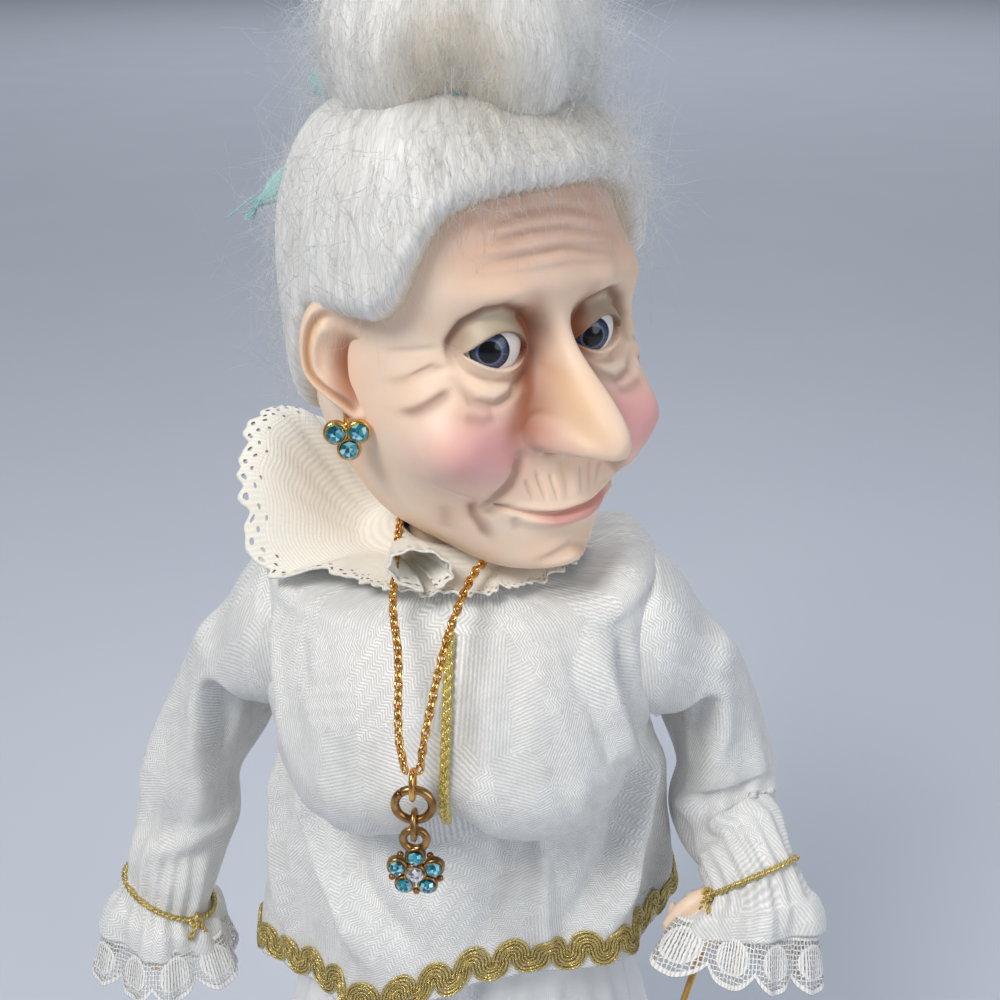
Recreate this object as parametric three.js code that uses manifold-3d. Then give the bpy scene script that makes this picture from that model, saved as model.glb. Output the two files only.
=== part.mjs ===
// A standing fairy doll: an old woman with a white bun, dressed in ivory brocade, holding a thin wand.
// Millimetres, +Z up, the doll's front towards -Y and her left towards +X.
// The origin is the middle of the wooden base's underside, on the surface that she stands on.
import * as THREE from "three";
import { mergeVertices } from "three/addons/utils/BufferGeometryUtils.js";
import Module from "manifold-3d";

const wasm = await Module();
wasm.setup();

// Clearances and walls
const FIT = 0.3;
const CLOTH = 1.2;
const LINING_GAP = 0.6;

// Wooden base and post, under the skirt
const BASE_RADIUS = 44;
const BASE_HEIGHT = 10;
const BASE_EDGE = 1.5;
const POST_RADIUS = 6;
const POST_SOCKET_DEPTH = 6;
const POST_IN_TORSO = 36;

// Heights of the figure, each above the one named
const SKIRT_LIFT = 1;
const SKIRT_LENGTH = 149;
const WAIST_Z = SKIRT_LIFT + SKIRT_LENGTH;
const HIP_DROP = 34;
const SHOULDER_RISE = 46;
const BUST_RISE = 38;
const CREASE_RISE = 25;
const TORSO_TOP_RISE = 58;
const NECKLINE_RISE = 66.5;
const EYE_RISE = 113;
const SHOULDER_Z = WAIST_Z + SHOULDER_RISE;
const TORSO_TOP_Z = WAIST_Z + TORSO_TOP_RISE;
const NECKLINE_Z = WAIST_Z + NECKLINE_RISE;
const EYE_Z = WAIST_Z + EYE_RISE;

// Torso and tunic
const SHOULDER_HALF = 38;
const SHOULDER_Y = 2;
const BUST_DEPTH = 44.5;
const WAIST_HALF = 24;
const WAIST_DEPTH = 20;
const HIP_HALF = 26;
const TUNIC_HEM_HALF = 45;
const TUNIC_HEM_FRONT = 39;
const TUNIC_HEM_BACK = 35;
const TUNIC_HEM_DROP = 22;
const TUNIC_WAIST_HALF = 41;
const TUNIC_WAIST_FRONT = 33.5;
const TUNIC_WAIST_BACK = 30.5;
const HEM_TILT = 5;
const HEM_FRONT_RISE = 11;
const HEM_DIP = 6;
const TUNIC_FOLDS = 7;
const TUNIC_FOLD_DEPTH = 1.8;

// Skirt
const SKIRT_HEM_RADIUS = 58;
const SKIRT_FOLDS = 11;
const SKIRT_FOLD_DEPTH = 4;

// Braid, lace and jewellery
const GIMP_HEIGHT = 7.5;
const GIMP_THICK = 1.4;
const GIMP_SCALLOPS = 24;
const GIMP_SCALLOP_DEPTH = 0.6;
const PLACKET_WIDTH = 2.8;
const PLACKET_THICK = 1.1;
const LACE = 1;
const RUFF_PLEATS = 12;
const CHAIN_RADIUS = 1;
const JUMP_RING_RADIUS = 3.1;
const JUMP_RING_WIRE = 0.75;
const LINK_RADIUS = 1.9;
const LINK_WIRE = 0.5;
const PETAL_STONE = 1.35;
const CENTRE_STONE = 1.5;
const EARRING_STONE = 1.6;
const SETTING_RIM = 0.45;
const SETTING_THICK = 1.4;

// Neck and head
const NECK_RADIUS = 10;
const NECK_SOCKET_WALL = 2.6;
const NECK_SOCKET_HEIGHT = 7.5;
const HEAD_TURN = 43;
const HEAD_HALF = 25.5;
const CHIN_DROP = 39.5;
const CROWN_RISE = 36;
const NOSE_LENGTH = 15;
const CHEEK = 6.5;
const EYE_SPREAD = 10.4;
const EYE_RADIUS = 5.4;
const EYE_DEPTH = 20.4;
const HAIR = 6.5;
const HAIRLINE_RISE = 24;
const BUN_RADIUS = 24;
const BUN_HEIGHT = 29;
const BUN_SINK = 4;
const BUN_X = 1.6;
const BUN_Y = 0.6;

// Arms, sleeves and wand
const ARM_RADIUS = 7;
const WRIST_RADIUS = 5.2;
const PEG_RADIUS = 5;
const PEG_LENGTH = 8;
const SLEEVE_RADIUS = 13;
const SLEEVE_HEAD = 15.5;
const SHOULDER_SLOPE = 1.35;
const TIE_EASE = 2;
const TIE_RADIUS = WRIST_RADIUS + FIT + CLOTH + TIE_EASE;
const CORD_RADIUS = 0.6;
const FRILL_DROP = 8;
const CUFF_LACE_DROP = 8;
const WAND_RADIUS = 0.7;
const WAND_LENGTH = 72;
const WAND_ABOVE_HAND = 5;
const STAR_RADIUS = 9;
const STAR_THICK = 2.4;

const rad = THREE.MathUtils.degToRad;
const smooth = THREE.MathUtils.smoothstep;
const vec = (x, y, z) => new THREE.Vector3(x, y, z);

// Solids

// A geometry's triangles turned, if they need it, so that its faces point outwards.
function facingOut(positions, triangles) {
  const point = (i) => vec(positions[3 * i], positions[3 * i + 1], positions[3 * i + 2]);
  let volume = 0;
  for (let i = 0; i < triangles.length; i += 3) {
    const [a, b, c] = [0, 1, 2].map((k) => point(triangles[i + k]));
    volume += a.dot(b.cross(c));
  }
  const order = volume < 0 ? triangles.toReversed() : triangles;
  return new THREE.BufferGeometry()
    .setAttribute("position", new THREE.Float32BufferAttribute(positions, 3))
    .setIndex(order);
}

// The two triangles of each cell between neighbouring rings of n points.
// Closed adds the cells from the last ring to the first.
function cells(ringCount, n, closed) {
  const triangles = [];
  const spans = closed ? ringCount : ringCount - 1;
  for (let i = 0; i < spans; i++) {
    for (let j = 0; j < n; j++) {
      const [a, b] = [i * n + j, i * n + ((j + 1) % n)];
      const next = (((i + 1) % ringCount) - i) * n;
      triangles.push(a, b, b + next, a, b + next, a + next);
    }
  }
  return triangles;
}

// A solid stack of rings, closed at both ends with a fan.
function stack(rings) {
  const n = rings[0].length;
  const middle = (ring) => ring.reduce((sum, p) => sum.add(p), vec(0, 0, 0)).divideScalar(n);
  const points = [...rings.flat(), middle(rings[0]), middle(rings.at(-1))];
  const triangles = cells(rings.length, n, false);
  const [low, high] = [points.length - 2, points.length - 1];
  const top = (rings.length - 1) * n;
  for (let j = 0; j < n; j++) {
    triangles.push(low, (j + 1) % n, j, high, top + j, top + ((j + 1) % n));
  }
  return facingOut(points.flatMap((p) => p.toArray()), triangles);
}

// Each point of a grid of rings moved along the surface's normal: outwards if the distance is positive.
function moved(rings, distance) {
  const n = rings[0].length;
  const last = rings.length - 1;
  return rings.map((ring, i) =>
    ring.map((p, j) => {
      const along = rings[Math.min(i + 1, last)][j].clone().sub(rings[Math.max(i - 1, 0)][j]);
      const around = ring[(j + 1) % n].clone().sub(ring[(j + n - 1) % n]);
      return p.clone().addScaledVector(around.cross(along).normalize(), distance);
    }),
  );
}

// A sheet of cloth as a solid: the given outer rings, and inner rings set in by the thickness.
function cloth(rings, thickness) {
  const loop = [...rings, ...moved(rings, -thickness).reverse()];
  const positions = loop.flat().flatMap((p) => p.toArray());
  return facingOut(positions, cells(loop.length, rings[0].length, true));
}

// A round tube along a curve, with flat ends.
function tube(curve, radius, sides, steps) {
  const section = new THREE.Shape();
  for (let k = 0; k < sides; k++) {
    const angle = (2 * Math.PI * k) / sides;
    const [x, y] = [radius * Math.cos(angle), radius * Math.sin(angle)];
    if (k === 0) section.moveTo(x, y);
    else section.lineTo(x, y);
  }
  return new THREE.ExtrudeGeometry(section, { extrudePath: curve, steps, curveSegments: 1 });
}

// A geometry as a manifold-3d solid, with coincident vertices merged and empty triangles left out.
function solid(geometry) {
  const bare = new THREE.BufferGeometry().setAttribute("position", geometry.getAttribute("position"));
  bare.setIndex(geometry.index);
  const merged = mergeVertices(bare, 1e-4);
  const index = merged.index.array;
  const kept = [];
  for (let i = 0; i < index.length; i += 3) {
    const [a, b, c] = index.subarray(i, i + 3);
    if (a !== b && b !== c && c !== a) kept.push(a, b, c);
  }
  const vertProperties = new Float32Array(merged.getAttribute("position").array);
  const mesh = new wasm.Mesh({ numProp: 3, vertProperties, triVerts: new Uint32Array(kept) });
  return new wasm.Manifold(mesh);
}

// A manifold-3d solid as a geometry.
function geometryOf(made) {
  const mesh = made.getMesh();
  const positions = new Float32Array(mesh.numVert * 3);
  for (let i = 0; i < mesh.numVert; i++) {
    positions.set(mesh.vertProperties.subarray(i * mesh.numProp, i * mesh.numProp + 3), i * 3);
  }
  return new THREE.BufferGeometry()
    .setAttribute("position", new THREE.BufferAttribute(positions, 3))
    .setIndex(new THREE.BufferAttribute(mesh.triVerts, 1));
}

const joined = (first, ...others) =>
  geometryOf(others.reduce((made, other) => made.add(solid(other)), solid(first)));
const cut = (first, ...others) =>
  geometryOf(others.reduce((made, other) => made.subtract(solid(other)), solid(first)));

// A ball of the three radii, centred on a point.
function ball(radii, centre, across = 16, down = 10) {
  return new THREE.SphereGeometry(1, across, down).scale(...radii).translate(...centre);
}

// A cylinder from one point to another.
function rod(from, to, radius, sides = 12) {
  const axis = to.clone().sub(from);
  const turn = new THREE.Quaternion().setFromUnitVectors(vec(0, 1, 0), axis.clone().normalize());
  return new THREE.CylinderGeometry(radius, radius, axis.length(), sides)
    .applyQuaternion(turn)
    .translate(...from.clone().add(to).divideScalar(2));
}

// A finger: a capsule from one point to another.
function finger(from, to, radius) {
  const axis = to.clone().sub(from);
  const turn = new THREE.Quaternion().setFromUnitVectors(vec(0, 1, 0), axis.clone().normalize());
  return new THREE.CapsuleGeometry(radius, axis.length(), 2, 6)
    .applyQuaternion(turn)
    .translate(...from.clone().add(to).divideScalar(2));
}

// Sections

// Value of a table of stations at height z: a cubic through the stations, held level past both ends.
function along(stations, z, key) {
  const last = stations.length - 1;
  if (z <= stations[0].z) return stations[0][key];
  if (z >= stations[last].z) return stations[last][key];
  const i = stations.findIndex((station, k) => z < stations[k + 1].z);
  const slope = (k) => {
    const [a, b] = [stations[Math.max(k - 1, 0)], stations[Math.min(k + 1, last)]];
    return (b[key] - a[key]) / (b.z - a.z);
  };
  const [p, q] = [stations[i], stations[i + 1]];
  const h = q.z - p.z;
  const t = (z - p.z) / h;
  const bend = (1 - t) * slope(i) - t * slope(i + 1);
  const rise = (q[key] - p[key]) / h;
  const swing = (1 - 2 * t) * rise;
  return p[key] + (q[key] - p[key]) * t + t * (1 - t) * h * (bend - swing);
}

// A point of a full oval section: half width across, and its own depths to the front and the back.
function ovalPoint(half, front, back, fullness, angle) {
  const [c, s] = [Math.cos(angle), Math.sin(angle)];
  const power = 2 / fullness;
  const depth = s < 0 ? front : back;
  return [half * Math.sign(c) * Math.abs(c) ** power, depth * Math.sign(s) * Math.abs(s) ** power];
}

// The ring of angles round a section, counted from +X towards the back.
const round = (n) => Array.from({ length: n }, (_, j) => (2 * Math.PI * j) / n);

// How far round from one angle to another, from 0 to half a turn.
const apart = (a, b) => Math.abs(THREE.MathUtils.euclideanModulo(a - b + Math.PI, 2 * Math.PI) - Math.PI);

// Tunic and torso

const FRONT = -Math.PI / 2;
const TUNIC_FULLNESS = 2.5;
const SHIRT_SIDE = SHOULDER_HALF - FIT;
const TUNIC_TOP_STATIONS = [
  { rise: 15, half: SHIRT_SIDE + 0.6, front: 28.5, back: 27.5 },
  { rise: CREASE_RISE, half: SHIRT_SIDE - 0.8, front: 31, back: 26 },
  { rise: CREASE_RISE + 4.5, half: SHIRT_SIDE - 0.6, front: BUST_DEPTH - 5, back: 26 },
  { rise: BUST_RISE, half: SHIRT_SIDE - 0.4, front: BUST_DEPTH, back: 26 },
  { rise: BUST_RISE + 8, half: SHIRT_SIDE - 0.2, front: BUST_DEPTH - 4, back: 25.5 },
  { rise: TORSO_TOP_RISE - 4, half: SHIRT_SIDE - 0.6, front: 35, back: 24.5 },
  { rise: TORSO_TOP_RISE + 2, half: SHIRT_SIDE - 0.9, front: 29, back: 23 },
  { rise: TORSO_TOP_RISE + 6, half: SHIRT_SIDE - 3, front: 24, back: 21 },
  { rise: NECKLINE_RISE, half: 15.5, front: 15.5, back: 14.5 },
].map((station) => ({ ...station, full: TUNIC_FULLNESS, z: WAIST_Z + station.rise }));
const TUNIC_HEM_Z = WAIST_Z - TUNIC_HEM_DROP;
const TUNIC_STATIONS = [
  { z: TUNIC_HEM_Z - HEM_DIP, half: TUNIC_HEM_HALF, front: TUNIC_HEM_FRONT, back: TUNIC_HEM_BACK, full: 2 },
  { z: WAIST_Z, half: TUNIC_WAIST_HALF, front: TUNIC_WAIST_FRONT, back: TUNIC_WAIST_BACK, full: 2.1 },
  ...TUNIC_TOP_STATIONS,
];
const TUNIC_POINTS = 36;

// Height of the tunic's hem: lifted by the bust in front, lower on her right, dipping beside the front.
function hemHeight(angle) {
  const front = Math.max(0, -Math.sin(angle)) ** 2;
  const dip = Math.exp(-((apart(angle, rad(-112)) / rad(20)) ** 2));
  return TUNIC_HEM_Z + HEM_TILT * Math.cos(angle) + HEM_FRONT_RISE * front - HEM_DIP * dip;
}

// A point of the tunic's outer face, with folds that deepen from the bust crease down to the hem.
function tunicPoint(angle, z) {
  const size = (key) => along(TUNIC_STATIONS, z, key);
  const [x, y] = ovalPoint(size("half"), size("front"), size("back"), size("full"), angle);
  const depth = TUNIC_FOLD_DEPTH * (1 - smooth(z, TUNIC_HEM_Z, WAIST_Z + CREASE_RISE));
  const fold = 1 + (depth * Math.cos(TUNIC_FOLDS * angle + Math.sin(2 * angle))) / TUNIC_HEM_HALF;
  return vec(x * fold, y * fold, z);
}

// Rings of the tunic from the hem line up to a level line, then at each station up to the neck.
function tunicRings() {
  const skirtRows = 4;
  const level = TUNIC_TOP_STATIONS[0].z;
  const rings = [];
  for (let i = 0; i < skirtRows; i++) {
    const share = i / skirtRows;
    rings.push(round(TUNIC_POINTS).map((angle) =>
      tunicPoint(angle, THREE.MathUtils.lerp(hemHeight(angle), level, share))));
  }
  TUNIC_TOP_STATIONS.forEach(({ z }) => rings.push(round(TUNIC_POINTS).map((angle) => tunicPoint(angle, z))));
  return rings;
}

// The stuffed torso: a hip and waist of its own, then the tunic's shape set in by the cloth.
function torso() {
  const hip = WAIST_DEPTH + HIP_HALF - WAIST_HALF;
  const lower = [
    { z: WAIST_Z - HIP_DROP, half: HIP_HALF, depth: hip },
    { z: WAIST_Z - HIP_DROP / 2, half: HIP_HALF, depth: hip },
    { z: WAIST_Z, half: WAIST_HALF, depth: WAIST_DEPTH },
  ].map(({ z, half, depth }) => round(TUNIC_POINTS).map((angle) =>
    vec(...ovalPoint(half, depth, depth, TUNIC_FULLNESS, angle), z)));
  const covered = moved(tunicRings(), -(CLOTH + LINING_GAP));
  const firstTop = covered.length - TUNIC_TOP_STATIONS.length;
  const upper = covered.filter((_, i) => {
    const station = TUNIC_TOP_STATIONS[i - firstTop];
    return station && station.rise >= CREASE_RISE && station.z < TORSO_TOP_Z;
  });
  const top = round(TUNIC_POINTS).map((angle) =>
    vec(...ovalPoint(24, 23, 18, TUNIC_FULLNESS, angle), TORSO_TOP_Z));
  const rings = [...lower, ...upper, top];
  const socketTop = vec(0, 0, WAIST_Z - HIP_DROP + POST_IN_TORSO + FIT);
  const postSocket = rod(vec(0, 0, WAIST_Z - HIP_DROP - 1), socketTop, POST_RADIUS + FIT, 16);
  const pegSockets = [-1, 1].map((side) => {
    const from = shoulderPoint(side * (SHOULDER_HALF - PEG_LENGTH - FIT));
    return rod(from, shoulderPoint(side * (SHOULDER_HALF + 1)), PEG_RADIUS + FIT, 16);
  });
  return cut(stack(rings), postSocket, ...pegSockets);
}

// A point on the axis that both arms turn about.
function shoulderPoint(x) {
  return vec(x, SHOULDER_Y, SHOULDER_Z);
}

// The tunic, with round armholes that the arms' pegs pass through.
function tunic() {
  const armholes = [-1, 1].map((side) => {
    const from = shoulderPoint(side * (SHOULDER_HALF - PEG_LENGTH));
    return rod(from, shoulderPoint(side * (SHOULDER_HALF + 1)), PEG_RADIUS + 2 * FIT, 16);
  });
  return cut(cloth(tunicRings(), CLOTH), ...armholes);
}

// Rings that follow the tunic's outer face at an offset, from one height above the hem line to another.
function hemBand(low, high, offset, rows, scallop) {
  const rings = [];
  for (let i = 0; i <= rows; i++) {
    rings.push(round(3 * GIMP_SCALLOPS).map((angle) => {
      const edge = (2 * i) / rows - 1;
      const wave = scallop * edge * Math.cos(GIMP_SCALLOPS * angle);
      return tunicPoint(angle, hemHeight(angle) + THREE.MathUtils.lerp(low, high, i / rows) + wave);
    }));
  }
  return moved(rings, offset);
}

// The scrolled gold braid sewn over the tunic's hem.
function hemGimp() {
  const rings = hemBand(-FIT, GIMP_HEIGHT, FIT + GIMP_THICK, 1, GIMP_SCALLOP_DEPTH);
  return cloth(rings, GIMP_THICK);
}

// The narrow gold braid down the middle of the bodice, from under the ruff to the bust's lower edge.
function placketBraid() {
  const [top, bottom] = [TORSO_TOP_Z + 4, WAIST_Z + CREASE_RISE + 7];
  const rows = 10;
  const rings = [];
  for (let i = 0; i <= rows; i++) {
    const z = THREE.MathUtils.lerp(bottom, top, i / rows);
    const face = tunicPoint(FRONT, z).y;
    const slope = tunicPoint(FRONT, z + 0.5).y - tunicPoint(FRONT, z - 0.5).y;
    const normal = vec(0, -1, slope).normalize();
    const at = (side, depth) => vec(side * PLACKET_WIDTH / 2, face, z).addScaledVector(normal, depth);
    const [near, far] = [2 * FIT, 2 * FIT + PLACKET_THICK];
    rings.push([at(-1, near), at(-1, far), at(1, far), at(1, near)]);
  }
  return stack(rings);
}

// Skirt, base and post

// The long skirt: gathered on the waist, falling in folds that deepen to the hem.
function skirt() {
  const rows = 7;
  const waist = 2 * FIT + CLOTH;
  const rings = [];
  for (let i = 0; i <= rows; i++) {
    const t = i / rows;
    const z = THREE.MathUtils.lerp(SKIRT_LIFT, WAIST_Z, t);
    const spread = (1 - t) ** 0.75;
    const [half, depth] = [WAIST_HALF, WAIST_DEPTH].map((size) =>
      THREE.MathUtils.lerp(size + waist, SKIRT_HEM_RADIUS, spread));
    rings.push(round(4 * SKIRT_FOLDS).map((angle) => {
      const fullness = THREE.MathUtils.lerp(TUNIC_FULLNESS, 2, Math.min(1, 4 * spread));
      const [x, y] = ovalPoint(half, depth, depth, fullness, angle);
      const wave = Math.cos(SKIRT_FOLDS * angle + 0.8 * Math.sin(3 * angle));
      const fold = 1 + (SKIRT_FOLD_DEPTH * smooth(spread, 0.1, 1) * wave) / SKIRT_HEM_RADIUS;
      return vec(x * fold, y * fold, z);
    }));
  }
  return cloth(rings, CLOTH);
}

// The turned wooden disc that the doll stands on, with a blind socket for the post.
function base() {
  const floor = BASE_HEIGHT - POST_SOCKET_DEPTH;
  const profile = [
    [0, 0],
    [BASE_RADIUS - BASE_EDGE, 0],
    [BASE_RADIUS, BASE_EDGE],
    [BASE_RADIUS, BASE_HEIGHT - BASE_EDGE],
    [BASE_RADIUS - BASE_EDGE, BASE_HEIGHT],
    [POST_RADIUS + FIT, BASE_HEIGHT],
    [POST_RADIUS + FIT, floor],
    [0, floor],
  ].map(([r, z]) => new THREE.Vector2(r, z));
  return new THREE.LatheGeometry(profile, 24).rotateX(Math.PI / 2);
}

// The dowel from the base up into the torso.
function post() {
  const bottom = BASE_HEIGHT - POST_SOCKET_DEPTH + FIT;
  return rod(vec(0, 0, bottom), vec(0, 0, WAIST_Z - HIP_DROP + POST_IN_TORSO), POST_RADIUS, 16);
}

// The collar on the torso that the doll's neck turns in.
function neckSocket() {
  const inner = NECK_RADIUS + FIT;
  const outer = inner + NECK_SOCKET_WALL;
  const [low, high] = [TORSO_TOP_Z + FIT, TORSO_TOP_Z + FIT + NECK_SOCKET_HEIGHT];
  const profile = [[inner, low], [outer, low], [outer, high], [inner, high], [inner, low]];
  return new THREE.LatheGeometry(profile.map(([r, z]) => new THREE.Vector2(r, z)), 24).rotateX(Math.PI / 2);
}

// The standing lace ruff: low under the chin, turned up at the sides and back, in deep pleats.
function laceRuff() {
  const inner = NECK_RADIUS + FIT + NECK_SOCKET_WALL + FIT + LACE;
  const rows = 4;
  const rings = [];
  const points = 4 * RUFF_PLEATS;
  for (let i = 0; i <= rows; i++) {
    const t = i / rows;
    rings.push(round(points).map((angle) => {
      const right = Math.exp(-((apart(angle, Math.PI) / rad(55)) ** 2));
      const front = 1 - smooth(apart(angle, rad(-48)), rad(84), rad(112));
      const reach = 19 + 7 * right - 9.5 * front;
      const height = THREE.MathUtils.lerp(13 + 10 * right, 1, front);
      const pleat = Math.cos(RUFF_PLEATS * angle + 1.5 * Math.sin(angle));
      const r = inner + reach * t ** 0.8 + 1.1 * t * pleat;
      const lift = t + (height - 1) * smooth(t, 0.55, 1);
      const z = NECKLINE_Z + FIT + LACE + lift + 0.6 * t * pleat;
      return vec(r * Math.cos(angle), r * Math.sin(angle), z);
    }));
  }
  return cloth(rings, LACE);
}

// Necklace and pendant

const PENDANT_X = -4.5;
const CHAIN_END_RISE = 49.5;
const BRAID_FACE = BUST_DEPTH + 2 * FIT + PLACKET_THICK;
const CHAIN_LOW = vec(PENDANT_X, -(BRAID_FACE + FIT + LINK_WIRE + LINK_RADIUS), WAIST_Z + CHAIN_END_RISE);

// The chain: up her right side of the bodice, round the neck behind, and down to the same link.
function necklaceChain() {
  const neck = NECK_RADIUS + FIT + CHAIN_RADIUS + 0.9;
  const lay = NECKLINE_Z + CHAIN_RADIUS + 3.8;
  const nape = [-160, -200, -235, -270, -305, -340, -20].map((degrees) =>
    vec(neck * Math.cos(rad(degrees)), neck * Math.sin(rad(degrees)), lay - 0.4));
  const route = [
    CHAIN_LOW.clone().add(vec(-1.3, 0, 0)),
    CHAIN_LOW.clone().add(vec(-2.2, 1.2, 6)),
    vec(-7.6, -38.6, NECKLINE_Z - 2.4),
    vec(-9.2, -31.5, NECKLINE_Z + 2.6),
    vec(-10, -21.5, lay + 0.4),
    ...nape,
    vec(9, -11.5, lay),
    vec(4.4, -21.5, lay + 0.4),
    vec(1.6, -31.8, NECKLINE_Z + 2.6),
    vec(-0.4, -39.2, NECKLINE_Z - 2.6),
    CHAIN_LOW.clone().add(vec(2.2, 1.2, 6)),
    CHAIN_LOW.clone().add(vec(1.3, 0, 0)),
  ];
  return tube(new THREE.CatmullRomCurve3(route), CHAIN_RADIUS, 5, 40);
}

// A ring of wire round a point, standing in the plane named by its turn about Z.
function wireRing(radius, wire, centre, turn, stretch = 1) {
  return new THREE.TorusGeometry(radius, wire, 6, 14)
    .scale(1, stretch, 1)
    .rotateX(Math.PI / 2)
    .rotateZ(rad(turn))
    .translate(...centre);
}

// Heights of the pendant's pieces, each hung inside the one above it with a little play.
const HANG_X = CHAIN_LOW.x;
const HANG_Y = CHAIN_LOW.y;
const LINK_STRETCH = 1.35;
const LINK_REACH = LINK_RADIUS * LINK_STRETCH;
const linkPlay = FIT + JUMP_RING_WIRE + LINK_WIRE;
const CHAIN_LINK_Z = CHAIN_LOW.z - FIT - LINK_WIRE - LINK_REACH;
const RING_TOP_Z = CHAIN_LINK_Z - LINK_REACH + linkPlay;
const RING_Z = RING_TOP_Z - JUMP_RING_RADIUS;
const PENDANT_LINK_TOP_Z = RING_Z - JUMP_RING_RADIUS + linkPlay;
const PENDANT_LINK_Z = PENDANT_LINK_TOP_Z - LINK_REACH;
const BAIL_RADIUS = 2;
const BAIL_WIRE = 0.7;
const BAIL_TOP_Z = PENDANT_LINK_Z - LINK_REACH + FIT + BAIL_WIRE + LINK_WIRE;
const BAIL_Z = BAIL_TOP_Z - BAIL_RADIUS;
const FLOWER_RING = PETAL_STONE + CENTRE_STONE + SETTING_RIM;
const FLOWER_Z = BAIL_Z - BAIL_RADIUS - FLOWER_RING - PETAL_STONE;

// A round cup of a setting, facing -Y, from the plate's back to its front.
function settingCup(radius, x, z) {
  return new THREE.CylinderGeometry(radius, radius, SETTING_THICK, 10).translate(x, 0, z);
}

// A cut stone facing -Y: a short girdle, a sloping crown and a flat table.
function stone(radius) {
  const profile = [
    [0, 0],
    [radius, 0],
    [radius, 0.4 * radius],
    [0.6 * radius, 0.8 * radius],
    [0, 0.8 * radius],
  ].map(([r, depth]) => new THREE.Vector2(r, depth));
  return new THREE.LatheGeometry(profile, 8).rotateZ(Math.PI);
}

// Places of the five petals round the flower's middle.
const petals = Array.from({ length: 5 }, (_, k) => {
  const angle = Math.PI / 2 + (2 * Math.PI * k) / 5;
  return [FLOWER_RING * Math.cos(angle), FLOWER_RING * Math.sin(angle)];
});

function pendantSetting() {
  const cups = petals.map(([x, z]) => settingCup(PETAL_STONE + SETTING_RIM, x, z));
  const middle = settingCup(CENTRE_STONE + SETTING_RIM, 0, 0);
  const bail = wireRing(BAIL_RADIUS, BAIL_WIRE, [0, 0, BAIL_Z - FLOWER_Z], 0);
  return joined(middle, ...cups, bail);
}

// Head

const HEAD_STATIONS = [
  { z: -CHIN_DROP - 1.2, half: NECK_RADIUS, front: NECK_RADIUS, back: NECK_RADIUS },
  { z: -CHIN_DROP, half: 11.5, front: 22, back: NECK_RADIUS + 1 },
  { z: -CHIN_DROP + 1.6, half: 14, front: 27.5, back: NECK_RADIUS + 2.5 },
  { z: -CHIN_DROP + 6, half: 17.5, front: 29, back: 15.5 },
  { z: -26, half: 21.5, front: 28.5, back: 20 },
  { z: -17, half: HEAD_HALF - 0.8, front: 27.5, back: 23 },
  { z: -8, half: HEAD_HALF, front: 27, back: 25 },
  { z: 0, half: HEAD_HALF, front: 25.5, back: 26.5 },
  { z: 10, half: HEAD_HALF, front: 27, back: 27 },
  { z: 20, half: HEAD_HALF - 1.5, front: 24, back: 26 },
  { z: 28, half: HEAD_HALF - 6, front: 18.5, back: 22 },
  { z: CROWN_RISE - 3, half: HEAD_HALF - 13, front: 11, back: 14.5 },
  { z: CROWN_RISE - 0.5, half: 4, front: 4, back: 5 },
];
const HEAD_FULLNESS = 2.45;

// A soft rise of height 1 about a place on the face, wide by deep.
const rise = (x, z, centreX, centreZ, wide, deep) =>
  Math.exp(-(((x - centreX) / wide) ** 2) - ((z - centreZ) / deep) ** 2);

// How far the face stands out at a place: nose, brows, lips and chin, less the eye sockets.
function faceRelief(x, z) {
  const side = Math.abs(x);
  const noseRun = smooth(-z, -3, 14) * (1 - smooth(-z, 14.5, 18.5));
  const noseHalf = 2.6 + 1.7 * smooth(-z, 2, 13);
  const nose = NOSE_LENGTH * noseRun * Math.exp(-((x / noseHalf) ** 2));
  const wings = 3 * rise(side, z, 4.4, -13, 2.2, 3);
  const brow = 1.6 * rise(side, z, EYE_SPREAD, 8, 7, 3.5);
  const socket = 3.5 * rise(side, z, EYE_SPREAD, 0.5, 6.5, 5);
  const lips = 1.8 * rise(x, z, 0, -26, 9, 2.6);
  const chin = 2.4 * rise(x, z, 0, -CHIN_DROP + 4, 7, 4);
  return nose + wings + brow + lips + chin - socket;
}

// A point of the bald head at an angle and height, the face modelled on its front and the cheeks full.
function headPoint(angle, z, grown = 0) {
  const size = (key) => along(HEAD_STATIONS, z, key) + grown;
  const [x, y] = ovalPoint(size("half"), size("front"), size("back"), HEAD_FULLNESS, angle);
  const frontness = smooth(-Math.sin(angle), 0.1, 0.6);
  const cheek = CHEEK * frontness * rise(Math.abs(x), z, 19.5, -15.5, 7, 7.5);
  return vec(x + 0.5 * Math.sign(x) * cheek, y - 0.87 * cheek - faceRelief(x, z) * frontness, z);
}

const HEAD_POINTS = 24;

// Angles round the head, closer together across the face than behind it.
function headAngles(n) {
  const crowding = (angle) => 0.42 * Math.sin(2 * (angle - FRONT)) * Math.max(0, -Math.sin(angle));
  return round(n).map((angle) => angle + crowding(angle));
}

// Where the right or left ear stands, from the head's middle at eye level.
const EAR = { x: 26, y: -2, z: -4, thick: 3, deep: 5.4, tall: 11, splay: 40 };

function ear(side, grown = 0) {
  return ball([EAR.thick + grown, EAR.deep + grown, EAR.tall + grown], [0, 0, 0], 10, 8)
    .rotateX(rad(-8))
    .rotateZ(rad(side * -EAR.splay))
    .translate(side * EAR.x, EAR.y, EAR.z);
}

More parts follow.
